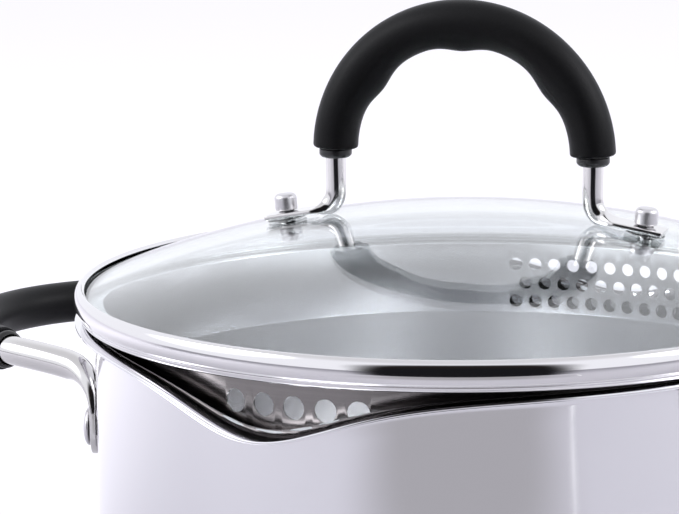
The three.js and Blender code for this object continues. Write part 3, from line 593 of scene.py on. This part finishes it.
def bar_rings(path, distances, first_normal, facets, section_at):
    """Rings of points round a path. section_at(distance) gives (thickness, width, power, bulge)."""
    centres, normals, sides = path.frames(distances, first_normal)
    angles = np.linspace(0, 2 * math.pi, facets, endpoint=False)
    along_normal, along_side = np.cos(angles), np.sin(angles)
    rings = []
    for distance, centre, normal, side in zip(distances, centres, normals, sides):
        thickness, width, power, bulge = section_at(distance)
        across = np.sign(along_normal) * np.abs(along_normal) ** power * thickness
        across = across - np.maximum(0, -along_normal) ** 2 * bulge
        along = np.sign(along_side) * np.abs(along_side) ** power * width
        rings.append(centre + across[:, None] * normal + along[:, None] * side)
    return rings


def solid_bar(rings):
    """Points and faces of a bar through rings, its ends closed."""
    facets = len(rings[0])
    first, last = rings[0].mean(axis=0), rings[-1].mean(axis=0)
    capped = [np.tile(first, (facets, 1)), *rings, np.tile(last, (facets, 1))]
    return np.concatenate(capped), grid_faces(len(capped), facets, False)


def sleeve(path, start, end, first_normal, bore, section_at, edge=0.9):
    """Points and faces of a sleeve on a path, with rounded ends and a round bore."""
    run = np.linspace(start + edge, end - edge, SLEEVE_RINGS)
    turn = np.linspace(0, math.pi / 2, 6)
    near = start + edge * (1 - np.sin(turn[:-1]))
    far = end - edge * (1 - np.sin(turn[1:]))
    shrink = edge * (1 - np.cos(turn[:-1]))[::-1]
    distances = np.concatenate([near[::-1], run, far])
    losses = np.concatenate([shrink, np.zeros(len(run)), edge * (1 - np.cos(turn[1:]))])
    loss_at = dict(zip(distances.tolist(), losses.tolist()))

    def outer(distance):
        thickness, width, power, bulge = section_at(distance)
        loss = loss_at[float(distance)]
        return thickness - loss, width - loss, power, bulge

    outside = bar_rings(path, distances, first_normal, SLEEVE_FACETS, outer)
    inside = bar_rings(path, distances, first_normal, SLEEVE_FACETS, lambda _: (bore, bore, 1.0, 0.0))
    rings = [*outside, *inside[::-1]]
    return np.concatenate(rings), grid_faces(len(rings), SLEEVE_FACETS, True)


def rod_distances(length, tip_length, count):
    """Distances along a rod, closer together at its two tips."""
    tip = tip_length * (1 - np.cos(np.linspace(0, math.pi / 2, TIP_POINTS)))
    run = np.linspace(tip[-1], length - tip[-1], count)[1:-1]
    return np.concatenate([tip, run, length - tip[::-1]])


def tabbed_section(rod_radius, half_width, half_thickness, length, tip_length, tip_share,
                   tab_end, rod_start):
    """Section of a rod with a flattened tab at both ends, whose very tip keeps a share of its width."""
    def section(distance):
        from_end = min(distance, length - distance)
        t = min(1.0, max(0.0, (from_end - tab_end) / (rod_start - tab_end)))
        swell = t * t * (3 - 2 * t)
        tip = min(1.0, from_end / tip_length)
        rounding = tip_share + (1 - tip_share) * math.sqrt(max(0.0, 1 - (1 - tip) ** 2))
        thickness = half_thickness + (rod_radius - half_thickness) * swell
        width = (half_width + (rod_radius - half_width) * swell) * rounding
        power = TAB_SQUARENESS + (1 - TAB_SQUARENESS) * swell
        return thickness * min(1.0, TIP_THICKNESS_SHARE + tip), width, power, 0.0
    return section


def bend(centre, first, second, radius, to_degrees, steps):
    angles = np.radians(np.linspace(0, to_degrees, steps + 1))
    return [np.array(centre) + radius * (math.cos(a) * np.array(first) + math.sin(a) * np.array(second))
            for a in angles]


# ------------------------------------------------------------------ pot

def press_spouts(points):
    """Presses both spouts into the turned shell: the rim goes down, and its flare reaches further out."""
    x, y, z = points.T
    radius = np.hypot(x, y)
    off_spout = np.arctan2(np.abs(x), np.abs(y))
    depth = 1 / (1 + (off_spout / SPOUT_SPREAD) ** 2) ** 2
    lift = np.clip((z - SPOUT_BLEND_Z) / (FLARE_START_Z - SPOUT_BLEND_Z), 0, 1)
    overhang = np.maximum(0, radius - POT_OUTER_RADIUS) / (RIM_EDGE_RADIUS - POT_OUTER_RADIUS)
    stretch = 1 + SPOUT_EXTRA_OVERHANG * overhang * depth / np.maximum(radius, 1)
    drop = (SPOUT_DIP * lift + SPOUT_EXTRA_DROOP * overhang ** 2) * depth
    return np.stack([x * stretch, y * stretch, z - drop], axis=1)


def flare(offset, steps=12):
    """The rim's flare at an offset from its inner face: a quarter ellipse, then a slight droop."""
    points = []
    for a in np.linspace(0, math.pi / 2, steps + 1):
        points.append((POT_INNER_RADIUS + FLARE_BEND - (FLARE_BEND - offset) * math.cos(a),
                       FLARE_START_Z + (FLARE_HEIGHT - offset) * math.sin(a)))
    end = np.array([RIM_EDGE_RADIUS, RIM_TOP_Z - offset - RIM_DROOP])
    start = np.array(points[-1])
    return points + [tuple(start + (end - start) * t) for t in (0.35, 0.7, 0.92, 1.0)]


TAB_MIDDLE_RADIUS = POT_OUTER_RADIUS + SIDE_TAB_STANDOFF + SIDE_TAB_HALF_THICKNESS
TAB_ANGLE = math.asin(SIDE_LEG_Y / TAB_MIDDLE_RADIUS)


def tab_directions():
    """The angle about the pan's axis of each of the four side tabs."""
    return [turn + side * TAB_ANGLE for turn in (0, math.pi) for side in (-1, 1)]


def radial_cutter(angle, start, end, z, radius):
    out = np.array([math.cos(angle), math.sin(angle), 0])
    return out * start + (0, 0, z), out * end + (0, 0, z), radius


def make_pot():
    centre_radius = POT_INNER_RADIUS - POT_CORNER_RADIUS
    centre_z = POT_FLOOR_Z + POT_CORNER_RADIUS
    wall = np.linspace(centre_z, SPOUT_BLEND_Z, 12)[1:]
    upper = np.linspace(SPOUT_BLEND_Z, FLARE_START_Z, 8)[1:-1]
    heights = [*wall, *upper]
    floor = np.linspace(0, centre_radius, 10)[:-1]
    lip = POT_WALL / 2
    edge_z = RIM_TOP_Z - RIM_DROOP - lip
    rounded_edge = [(RIM_EDGE_RADIUS - RIM_EDGE_BULGE * lip * (1 - math.cos(a)), edge_z + lip * math.sin(a))
                    for a in np.linspace(-RIM_EDGE_TURN, RIM_EDGE_TURN, 5)]
    outline = [
        *[(r, POT_BOTTOM_Z) for r in floor],
        *arc(centre_radius, centre_z, POT_CORNER_RADIUS + POT_WALL, -90, 0, CORNER_STEPS),
        *[(POT_OUTER_RADIUS, z) for z in heights],
        *flare(POT_WALL),
        *rounded_edge,
        *flare(0)[::-1],
        *[(POT_INNER_RADIUS, z) for z in heights[::-1]],
        *arc(centre_radius, centre_z, POT_CORNER_RADIUS, 0, -90, CORNER_STEPS),
        *[(r, POT_FLOOR_Z) for r in floor[::-1]],
    ]
    points, faces = turned(outline, ROUND_STEPS, False)
    mesh = build_mesh("pot_shell", press_spouts(points), faces)
    bore = SIDE_RIVET_SHANK_RADIUS + GAP
    inner, outer = POT_INNER_RADIUS - WALL_CUTTER_REACH, POT_OUTER_RADIUS + WALL_CUTTER_REACH
    cutters = [radial_cutter(angle, inner, outer, SIDE_RIVET_Z, bore) for angle in tab_directions()]
    mesh = pierce(mesh, cutters)
    for face in mesh.polygons:
        x, y, z = face.center / MM
        inside = math.hypot(x, y) < INSIDE_RADIUS and POT_FLOOR_Z - FACE_MARGIN < z < INSIDE_TOP_Z
        face.material_index = int(inside)
    add_piece("pot_shell", mesh, "pot", "pot_steel", "pot_body", extra="inside_steel")


def make_base_cap():
    top = POT_BOTTOM_Z - GAP
    inner = BASE_CORNER_RADIUS - BASE_CAP_THICKNESS
    edge = BASE_RADIUS - BASE_CORNER_RADIUS
    rings = np.linspace(0, edge, 8)[:-1]
    outline = [
        *[(r, 0) for r in rings],
        *arc(edge, BASE_CORNER_RADIUS, BASE_CORNER_RADIUS, -90, 0, BASE_CORNER_STEPS),
        (BASE_RADIUS, top),
        (BASE_RADIUS - BASE_CAP_THICKNESS, top),
        *arc(edge, BASE_CORNER_RADIUS, inner, 0, -90, BASE_CORNER_STEPS),
        *[(r, BASE_CAP_THICKNESS) for r in rings[::-1]],
    ]
    points, faces = turned(outline, ROUND_STEPS, False)
    add_piece("base_plate", build_mesh("base_plate", points, faces), "pot", "base_steel", "base_cap")


# ------------------------------------------------------------------ handle hardware

def make_end_ring(name, node, bore, radius, length, axis, body):
    """A smooth black collar on the rod, at its CAD node's place."""
    half = length / 2
    outline = [(bore, -half), (radius, -half), (radius, half - RING_CHAMFER),
               (radius - RING_CHAMFER, half), (bore, half)]
    points, faces = turned(eased_loop(outline, 0.4), SMALL_STEPS, True)
    seat = seat_matrix(Vector(middle(node)), axis)
    mesh = build_mesh(name, placed(points, seat), faces)
    add_piece(name, mesh, body, "ring_black", node)


def make_side_rivet(name, node, angle):
    head = TAB_MIDDLE_RADIUS + SIDE_TAB_HALF_THICKNESS + 1.5 * GAP
    foot = POT_INNER_RADIUS - 3 * GAP
    dome = SIDE_RIVET_HEAD_HEIGHT - SIDE_RIVET_HEAD_EDGE
    crown = [(SIDE_RIVET_HEAD_RADIUS * math.cos(a), head + SIDE_RIVET_HEAD_EDGE + dome * math.sin(a))
             for a in np.linspace(0, math.pi / 2, CROWN_POINTS)]
    inner_crown = [(SIDE_RIVET_FOOT_RADIUS * math.cos(a), foot - SIDE_RIVET_INNER_HEIGHT * math.sin(a))
                   for a in np.linspace(math.pi / 2, 0, CROWN_POINTS)]
    outline = [
        *inner_crown,
        (SIDE_RIVET_SHANK_RADIUS, foot),
        (SIDE_RIVET_SHANK_RADIUS, head),
        (SIDE_RIVET_HEAD_RADIUS - 0.15, head),
        *crown,
    ]
    points, faces = turned(eased(outline, 0.3, 2), SMALL_STEPS, False)
    out = (math.cos(angle), math.sin(angle), 0)
    mesh = build_mesh(name, placed(points, seat_matrix(Vector((0, 0, SIDE_RIVET_Z)), out)), faces)
    add_piece(name, mesh, "pot", "rivet_steel", node)


# ------------------------------------------------------------------ side handles

def side_handle_path():
    x = TAB_MIDDLE_RADIUS * math.cos(TAB_ANGLE)

    def leg(side):
        centre = (x + SIDE_BEND_RADIUS, side * SIDE_LEG_Y, SIDE_LEG_FOOT_Z - SIDE_BEND_RADIUS)
        return [
            (x, side * SIDE_LEG_Y, SIDE_TAB_BOTTOM_Z),
            (x, side * SIDE_LEG_Y, SIDE_RIVET_Z),
            (x, side * SIDE_LEG_Y, SIDE_RIVET_Z + SIDE_RIVET_HEAD_RADIUS),
            *bend(centre, (-1, 0, 0), (0, 0, 1), SIDE_BEND_RADIUS, 84, BEND_STEPS),
        ]

    centre = (SIDE_LOOP_CENTRE_X, 0, SIDE_LOOP_Z)
    loop = bend(centre, (0, -1, 0), (1, 0, 0), SIDE_LEG_Y, 180, LOOP_STEPS)
    return Path([*leg(-1), *loop[1:-1], *leg(1)[::-1]])


def make_side_handle(prefix, turn):
    path = side_handle_path()
    loop_length = math.pi * SIDE_LEG_Y
    grip_start = (path.length - loop_length * (1 - 2 * SIDE_GRIP_END_ANGLE / math.pi)) / 2
    straight = SIDE_LEG_FOOT_Z - SIDE_BEND_RADIUS - SIDE_TAB_BOTTOM_Z
    bend_end = straight + SIDE_BEND_RADIUS * math.pi / 2
    flat = (math.cos(TAB_ANGLE), -math.sin(TAB_ANGLE), 0)
    section = tabbed_section(SIDE_ROD_RADIUS, SIDE_TAB_HALF_WIDTH, SIDE_TAB_HALF_THICKNESS,
                             path.length, SIDE_TIP_LENGTH, SIDE_TIP_WIDTH_SHARE,
                             straight - SIDE_SWELL_DROP, bend_end)
    distances = rod_distances(path.length, SIDE_TIP_LENGTH, SIDE_ROD_RINGS)
    points, faces = solid_bar(bar_rings(path, distances, flat, ROD_FACETS, section))
    mesh = build_mesh(f"{prefix}_rod", points, faces)
    bore = SIDE_RIVET_SHANK_RADIUS + GAP
    outer = POT_OUTER_RADIUS + TAB_CUTTER_REACH
    cutters = [radial_cutter(side * TAB_ANGLE, POT_INNER_RADIUS, outer, SIDE_RIVET_Z, bore)
               for side in (-1, 1)]
    mesh = pierce(mesh, cutters)
    mesh.transform(about_z(turn))
    add_piece(f"{prefix}_rod", mesh, "pot", "rod_steel", f"{prefix}_handle_rod")

    points, faces = sleeve(path, grip_start, path.length - grip_start, flat, SIDE_ROD_RADIUS + GAP,
                           lambda _: (SIDE_GRIP_RADIUS, SIDE_GRIP_RADIUS, 1.0, 0.0))
    mesh = build_mesh(f"{prefix}_grip", placed(points, about_z(turn)), faces)
    add_piece(f"{prefix}_grip", mesh, "pot", "grip_black", f"{prefix}_handle_grip")

    ring_distance = grip_start - 2 * GAP - SIDE_RING_LENGTH / 2
    for side, end in ((-1, "a"), (1, "b")):
        at = ring_distance if side < 0 else path.length - ring_distance
        near = path.at(np.array([at - 0.5, at + 0.5]))
        axis = about_z(turn).to_3x3() @ Vector((near[1] - near[0]) * side)
        make_end_ring(f"{prefix}_ring_{end}", f"{prefix}_handle_ring_{end}", SIDE_ROD_RADIUS + GAP,
                      SIDE_RING_RADIUS, SIDE_RING_LENGTH, axis, "pot")
        make_side_rivet(f"{prefix}_rivet_{end}", f"{prefix}_handle_rivet_{end}", turn + side * TAB_ANGLE)


# ------------------------------------------------------------------ lid

def make_rim_band():
    """The polished band rolled round the glass, with a fine hem line near its lower edge."""
    under_flange = SKIRT_FLANGE_TOP_Z - SKIRT_SHEET - GAP
    inside = BAND_OUTER_RADIUS - BAND_SHEET
    hem_z = BAND_BOTTOM_Z + 1.5
    outside = [
        (BAND_INNER_RADIUS + 1.0, LID_Z + 0.5),
        (BAND_OUTER_RADIUS - 2.0, BAND_CROWN_Z),
        (BAND_OUTER_RADIUS - 1.05, BAND_CROWN_Z - 0.4),
        (BAND_OUTER_RADIUS - 0.45, BAND_CROWN_Z - 1.3),
        (BAND_OUTER_RADIUS - 0.12, BAND_CROWN_Z - 2.6),
        (BAND_OUTER_RADIUS, BAND_CROWN_Z - 4.4),
        (BAND_OUTER_RADIUS - 0.25, BAND_BOTTOM_Z + 3),
        (BAND_OUTER_RADIUS - 1.0, hem_z + 0.25),
        (BAND_OUTER_RADIUS - 1.35, hem_z),
        (BAND_OUTER_RADIUS - 1.25, hem_z - 0.25),
        (BAND_OUTER_RADIUS - 1.8, BAND_BOTTOM_Z),
    ]
    within = [
        (BAND_LIP_RADIUS + 0.3, BAND_BOTTOM_Z),
        (BAND_LIP_RADIUS, under_flange),
        (SKIRT_FLANGE_RADIUS + 0.4, under_flange),
        (inside - 0.8, under_flange + 1.15),
        (inside, LID_Z - 1.5),
        (inside - 0.6, LID_Z - 0.15),
        (BAND_INNER_RADIUS, LID_Z - 0.1),
    ]
    points, faces = turned(eased_loop([*outside, *within], 0.8, 6), ROUND_STEPS, True)
    add_piece("rim_band", build_mesh("rim_band", points, faces), "lid_rim", "band_steel", "lid_rim_band", 50)


def glass_top(radius):
    return GLASS_APEX_Z - GLASS_SPHERE_RADIUS + math.sqrt(GLASS_SPHERE_RADIUS ** 2 - radius ** 2)


def lid_rivet_axis(side):
    return Vector((side * math.sin(LID_RIVET_LEAN), 0, math.cos(LID_RIVET_LEAN)))


def lid_rivet_seat(side):
    return Vector((side * LID_RIVET_X, 0, glass_top(LID_RIVET_X)))


def lid_rivet_cutters():
    """Holes for the lid's two rivets, before the handle is turned into place."""
    bore = LID_RIVET_SHANK_RADIUS + GAP
    return [(lid_rivet_seat(s) - lid_rivet_axis(s) * LID_CUTTER_REACH,
             lid_rivet_seat(s) + lid_rivet_axis(s) * LID_CUTTER_REACH, bore) for s in (-1, 1)]


HANDLE_MATRIX = about_z(LID_REST_TURN + LID_HANDLE_TURN)


def make_glass():
    inner = GLASS_SPHERE_RADIUS - GLASS_THICKNESS
    spans = np.linspace(0, 1, GLASS_STEPS + 1)
    top = [(GLASS_EDGE_RADIUS * t, glass_top(GLASS_EDGE_RADIUS * t)) for t in spans]
    bottom = []
    for t in spans:
        angle = math.asin(GLASS_EDGE_RADIUS * t / GLASS_SPHERE_RADIUS)
        height = GLASS_APEX_Z - GLASS_SPHERE_RADIUS + inner * math.cos(angle)
        bottom.append((inner * math.sin(angle), height))
    outline = [*top, (GLASS_EDGE_RADIUS - 0.1, (top[-1][1] + bottom[-1][1]) / 2), *bottom[::-1]]
    points, faces = turned(outline, ROUND_STEPS, False)
    mesh = build_mesh("domed_glass", points, faces)
    cutters = [(HANDLE_MATRIX @ start, HANDLE_MATRIX @ end, radius)
               for start, end, radius in lid_rivet_cutters()]
    add_piece("domed_glass", pierce(mesh, cutters), "lid", "lid_glass", "lid_glass", 60)


def hole_cutters(row, direction):
    middle_index = (row["count"] - 1) / 2
    inner, outer = SKIRT_OUTER_RADIUS - HOLE_CUTTER_REACH, SKIRT_OUTER_RADIUS + HOLE_CUTTER_REACH
    angles = [direction + (i - middle_index) * row["pitch"] for i in range(row["count"])]
    return [radial_cutter(angle, inner, outer, row["z"], row["radius"]) for angle in angles]


def make_skirt():
    inner = SKIRT_OUTER_RADIUS - SKIRT_SHEET
    flange = SKIRT_FLANGE_RADIUS
    outline = [
        (inner, SKIRT_BOTTOM_Z),
        (SKIRT_OUTER_RADIUS, SKIRT_BOTTOM_Z),
        (SKIRT_OUTER_RADIUS, SKIRT_FLANGE_TOP_Z - SKIRT_SHEET),
        (flange, SKIRT_FLANGE_TOP_Z - SKIRT_SHEET),
        (flange, SKIRT_FLANGE_TOP_Z),
        (inner, SKIRT_FLANGE_TOP_Z),
    ]
    points, faces = turned(eased_loop(outline, 0.2, 3), ROUND_STEPS, True)
    mesh = build_mesh("perforated_skirt", points, faces)
    cutters = hole_cutters(LARGE_HOLES, LID_REST_TURN - math.pi / 2)
    for row in SMALL_HOLE_ROWS:
        cutters += hole_cutters(row, LID_REST_TURN + math.pi / 2)
    mesh = pierce(mesh, cutters)
    # The outer faces take the steel painted dark as a painted shade for the gap; the top and inner faces take
    # the inside steel.
    for face in mesh.polygons:
        x, y, z = face.center / MM
        on_top = z > SKIRT_FLANGE_TOP_Z - SKIRT_SHEET / 2
        face.material_index = int(on_top or math.hypot(x, y) < inner + FACE_MARGIN)
    add_piece("perforated_skirt", mesh, "lid", "strainer_steel", "strainer_skirt", extra="inside_steel")


# ------------------------------------------------------------------ lid handle

GLASS_SLOPE = math.asin(LID_RIVET_X / GLASS_SPHERE_RADIUS)
TAB_LIFT = GAP + LID_GASKET_THICKNESS + GAP + LID_TAB_HALF_THICKNESS


def lid_handle_path():
    def half(side):
        outward = np.array([side * math.cos(GLASS_SLOPE), 0, -math.sin(GLASS_SLOPE)])
        normal = np.array([side * math.sin(GLASS_SLOPE), 0, math.cos(GLASS_SLOPE)])
        seat = np.array(lid_rivet_seat(side)) + normal * TAB_LIFT
        tip = seat + outward * (LID_TAB_TIP_X - LID_RIVET_X)
        centre_x = side * (LID_LEG_X + LID_BEND_RADIUS)
        along = (centre_x - seat[0] - normal[0] * LID_BEND_RADIUS) / outward[0]
        centre = seat + outward * along + normal * LID_BEND_RADIUS
        turn = 90 - math.degrees(GLASS_SLOPE)
        return [tip, seat, *bend(centre, -normal, -outward, LID_BEND_RADIUS, turn, BEND_STEPS)]

    loop = bend((0, 0, LID_LOOP_CENTRE_Z), (-1, 0, 0), (0, 0, 1), LID_LEG_X, 180, LOOP_STEPS)
    return Path([*half(-1), *loop, *half(1)[::-1]])


def grip_bump(angle_from_top):
    """Height of the three bumps between the finger hollows."""
    return LID_GRIP_BUMP * sum(math.exp(-(((angle_from_top - centre) / LID_GRIP_BUMP_SPREAD) ** 2))
                               for centre in (-LID_GRIP_BUMP_ANGLE, 0, LID_GRIP_BUMP_ANGLE))


def make_lid_handle():
    path = lid_handle_path()
    grip_start = (path.length - math.pi * LID_LEG_X + 2 * LID_GRIP_END_LIFT) / 2
    tab_end = LID_TAB_TIP_X - LID_RIVET_X + LID_TAB_FLAT
    rod_start = LID_TAB_TIP_X - LID_RIVET_X + LID_TAB_SWELL
    section = tabbed_section(LID_ROD_RADIUS, LID_TAB_HALF_WIDTH, LID_TAB_HALF_THICKNESS,
                             path.length, LID_TIP_LENGTH, LID_TIP_WIDTH_SHARE, tab_end, rod_start)
    distances = rod_distances(path.length, LID_TIP_LENGTH, LID_ROD_RINGS)
    points, faces = solid_bar(bar_rings(path, distances, (0, 0, 1), ROD_FACETS, section))
    mesh = pierce(build_mesh("bail_rod", points, faces), lid_rivet_cutters())
    mesh.transform(HANDLE_MATRIX)
    add_piece("bail_rod", mesh, "lid", "rod_steel", "lid_handle_rod")

    def grip_section(distance):
        angle = (distance - path.length / 2) / LID_LEG_X
        return LID_GRIP_RADIUS, LID_GRIP_RADIUS, 1.0, grip_bump(angle)

    points, faces = sleeve(path, grip_start, path.length - grip_start, (0, 0, 1), LID_ROD_RADIUS + GAP,
                           grip_section)
    mesh = build_mesh("bail_grip", placed(points, HANDLE_MATRIX), faces)
    add_piece("bail_grip", mesh, "lid", "grip_black", "lid_handle_grip")
    for side, end in ((-1, "a"), (1, "b")):
        make_end_ring(f"bail_ring_{end}", f"lid_handle_ring_{end}", LID_ROD_RADIUS + GAP,
                      LID_RING_RADIUS, LID_RING_LENGTH, (0, 0, -1), "lid")
        make_lid_fastening(end, side)


def make_lid_fastening(end, side):
    """One lid rivet with the clear gasket on the glass and the clear washer under it."""
    normal = Vector((side * math.sin(GLASS_SLOPE), 0, math.cos(GLASS_SLOPE)))
    flat_seat = HANDLE_MATRIX @ seat_matrix(lid_rivet_seat(side), normal)
    bore = LID_RIVET_SHANK_RADIUS + 2 * GAP
    washer_top = -GLASS_THICKNESS - GAP
    washer_bottom = washer_top - LID_WASHER_THICKNESS
    gasket_top = GAP + LID_GASKET_THICKNESS
    for kind, low, high in (("gasket", GAP, gasket_top), ("washer", washer_bottom, washer_top)):
        outline = [(bore, low), (LID_GASKET_RADIUS, low), (LID_GASKET_RADIUS, high), (bore, high)]
        points, faces = turned(eased_loop(outline, 0.12, 3), SMALL_STEPS, True)
        mesh = build_mesh(f"clear_{kind}_{end}", placed(points, flat_seat), faces)
        add_piece(f"clear_{kind}_{end}", mesh, "lid", "clear_silicone", f"lid_{kind}_{end}")
    head = TAB_LIFT + LID_TAB_HALF_THICKNESS + 1.5 * GAP
    top = head + LID_RIVET_HEAD_HEIGHT
    foot = washer_bottom - 2 * GAP
    outline = [
        (0, foot - LID_RIVET_FOOT_HEIGHT),
        (LID_RIVET_FOOT_RADIUS * 0.8, foot - LID_RIVET_FOOT_HEIGHT),
        (LID_RIVET_FOOT_RADIUS, foot),
        (LID_RIVET_SHANK_RADIUS, foot),
        (LID_RIVET_SHANK_RADIUS, head),
        (LID_RIVET_HEAD_RADIUS, head),
        (LID_RIVET_HEAD_RADIUS, top - 0.8),
        (LID_RIVET_HEAD_RADIUS - 0.7, top),
        (0, top),
    ]
    points, faces = turned(eased(outline, 0.5, 5), SMALL_STEPS, False)
    seat = HANDLE_MATRIX @ seat_matrix(lid_rivet_seat(side), lid_rivet_axis(side))
    mesh = build_mesh(f"lid_stud_{end}", placed(points, seat), faces)
    add_piece(f"lid_stud_{end}", mesh, "lid", "rivet_steel", f"lid_rivet_{end}")


# ------------------------------------------------------------------ studio

def make_camera():
    """The viewing angle of a product shot from a little above, turned off the near spout."""
    level = math.cos(CAMERA_DOWN)
    forward = Vector((-math.sin(CAMERA_ASIDE) * level, math.cos(CAMERA_ASIDE) * level,
                      -math.sin(CAMERA_DOWN)))
    right = Vector((math.cos(CAMERA_ASIDE), math.sin(CAMERA_ASIDE), 0))
    up = right.cross(forward)
    turned_right = math.cos(CAMERA_ROLL) * right + math.sin(CAMERA_ROLL) * up
    turned_up = -math.sin(CAMERA_ROLL) * right + math.cos(CAMERA_ROLL) * up
    spin = about_z(CAMERA_AROUND).to_3x3()
    axes = Matrix([spin @ turned_right, spin @ turned_up, spin @ -forward]).transposed()
    data = bpy.data.cameras.new("camera")
    data.sensor_width = CAMERA_SENSOR
    data.lens = CAMERA_LENS
    camera = bpy.data.objects.new("camera", data)
    place = FRONT * CAMERA_DISTANCE + Vector((0, 0, LID_Z * MM + CAMERA_RISE))
    camera.matrix_world = Matrix.Translation(place) @ axes.to_4x4()
    bpy.context.scene.collection.objects.link(camera)
    bpy.context.scene.camera = camera


def stage_plane(name, width, depth, color):
    """A flat card or floor that isn't part of the object, with its material's tree and shader."""
    mesh = bpy.data.meshes.new(name)
    x, y = width / 2, depth / 2
    mesh.from_pydata([(-x, -y, 0), (x, -y, 0), (x, y, 0), (-x, y, 0)], [], [(0, 1, 2, 3)])
    material, tree, shader = new_material(name, Roughness=0.9, Specular_IOR_Level=0.0)
    shader.inputs["Base Color"].default_value = (*color, 1)
    shader.inputs["Emission Color"].default_value = (*color, 1)
    mesh.materials.append(material)
    card = bpy.data.objects.new(name, mesh)
    bpy.context.scene.collection.objects.link(card)
    return card, tree, shader


def reflected_only(thing):
    """Leaves a studio card out of every view but the reflections, and lets light through it."""
    thing.visible_camera = False
    thing.visible_diffuse = False
    thing.visible_transmission = False
    thing.visible_shadow = False


def smooth_range(tree, value, start, end, low, high):
    """Goes smoothly from low to high as the value goes from start to end."""
    span = tree.nodes.new("ShaderNodeMapRange")
    span.interpolation_type = "SMOOTHSTEP"
    for key, number in (("From Min", start), ("From Max", end), ("To Min", low), ("To Max", high)):
        span.inputs[key].default_value = number
    tree.links.new(value, span.inputs["Value"])
    return span.outputs["Result"]


def along(tree, vector, direction):
    """How far a vector reaches in a direction."""
    product = tree.nodes.new("ShaderNodeVectorMath")
    product.operation = "DOT_PRODUCT"
    tree.links.new(vector, product.inputs[0])
    product.inputs[1].default_value = direction
    return product.outputs["Value"]


def make_floor():
    """A pale floor with a painted glow that brightens it gently towards the back of the sweep."""
    _, tree, shader = stage_plane("floor", FLOOR_SIZE, FLOOR_SIZE, FLOOR_COLOR)
    back = along(tree, object_coordinates(tree), -FRONT)
    glow = smooth_range(tree, back, *FLOOR_GLOW_REACH, FLOOR_GLOW_FRONT, FLOOR_GLOW_BACK)
    tree.links.new(glow, shader.inputs["Emission Strength"])


def make_soft_card(name, around, upright, width, depth, out, lift, color, inner):
    """A soft-edged oval card near the pan, lying or upright, that glows with its colour and is seen only in
    reflections: a painted reflection.
    """
    card, tree, shader = stage_plane(name, width, depth, color)
    card.location = (out * math.sin(around), -out * math.cos(around), lift)
    card.rotation_euler = (math.pi / 2 if upright else 0, 0, around)
    shape = tree.nodes.new("ShaderNodeVectorMath")
    shape.operation = "MULTIPLY"
    shape.inputs[1].default_value = (2 / width, 2 / depth, 0)
    tree.links.new(object_coordinates(tree), shape.inputs[0])
    size = tree.nodes.new("ShaderNodeVectorMath")
    size.operation = "LENGTH"
    tree.links.new(shape.outputs["Vector"], size.inputs[0])
    shader.inputs["Base Color"].default_value = (0, 0, 0, 1)
    shader.inputs["Emission Strength"].default_value = 1.0
    tree.links.new(smooth_range(tree, size.outputs["Value"], inner, 1, 1, 0), shader.inputs["Alpha"])
    reflected_only(card)


def area_light(name, place, power):
    """A soft light on the lid that neither the camera nor the reflections see."""
    data = bpy.data.lights.new(name, "AREA")
    data.shape = "RECTANGLE"
    data.size = SOFTBOX_WIDTH
    data.size_y = SOFTBOX_HEIGHT
    data.energy = power
    light = bpy.data.objects.new(name, data)
    light.location = place
    aim = Vector((0, 0, LID_Z * MM)) - light.location
    light.rotation_euler = aim.to_track_quat("-Z", "Y").to_euler()
    light.visible_camera = False
    light.visible_glossy = False
    bpy.context.scene.collection.objects.link(light)


def make_world():
    """A white studio all round, a little greyer overhead and dark only behind the camera."""
    world = bpy.data.worlds.new("studio")
    world.use_nodes = True
    tree = world.node_tree
    dark_way = FRONT * math.cos(DARK_ELEVATION) + Vector((0, 0, math.sin(DARK_ELEVATION)))
    direction = tree.nodes.new("ShaderNodeTexCoord").outputs["Generated"]
    overhead = smooth_range(tree, along(tree, direction, (0, 0, 1)), *OVERHEAD_HEIGHTS, 0, 1)
    darkness = smooth_range(tree, along(tree, direction, dark_way), DARK_GONE, DARK_FULL, 0, 1)
    dark = add_tint(tree, darkness, SWEEP_COLOR, DARK_COLOR)
    dark_input = dark.node.inputs
    tree.links.new(add_tint(tree, overhead, SWEEP_COLOR, OVERHEAD_COLOR),
                   next(socket for socket in dark_input if socket.type == "RGBA"))
    tree.links.new(dark, tree.nodes["Background"].inputs["Color"])
    tree.nodes["Background"].inputs["Strength"].default_value = SWEEP_STRENGTH
    bpy.context.scene.world = world


def make_studio():
    make_world()
    bpy.context.scene.view_settings.view_transform = "Standard"
    make_floor()
    make_soft_card("front_card", CAMERA_AROUND, False, **FRONT_CARD)
    make_soft_card("dark_card", CAMERA_AROUND, True, **DARK_CARD)
    make_soft_card("strip_card", CAMERA_AROUND + STRIP_AROUND, False, **STRIP_CARD)
    make_soft_card("left_card", CAMERA_AROUND - SIDE_CARD_AROUND, True, **SIDE_CARD)
    make_soft_card("right_card", CAMERA_AROUND + SIDE_CARD_AROUND, True, **SIDE_CARD)
    for name, aside, box in (("left", -SOFTBOX_ASIDE, LEFT_SOFTBOX), ("right", SOFTBOX_ASIDE, RIGHT_SOFTBOX)):
        place = ASIDE * aside + FRONT * box["front"] + Vector((0, 0, SOFTBOX_RISE))
        area_light(f"{name}_softbox", place, box["power"])


make_camera()
make_pot()
make_base_cap()
frame["nodes"]["base_core"].material_slots[0].material = MATERIALS["core_aluminium"]
make_side_handle("right", 0)
make_side_handle("left", math.pi)
make_rim_band()
make_glass()
make_skirt()
make_lid_handle()
make_studio()
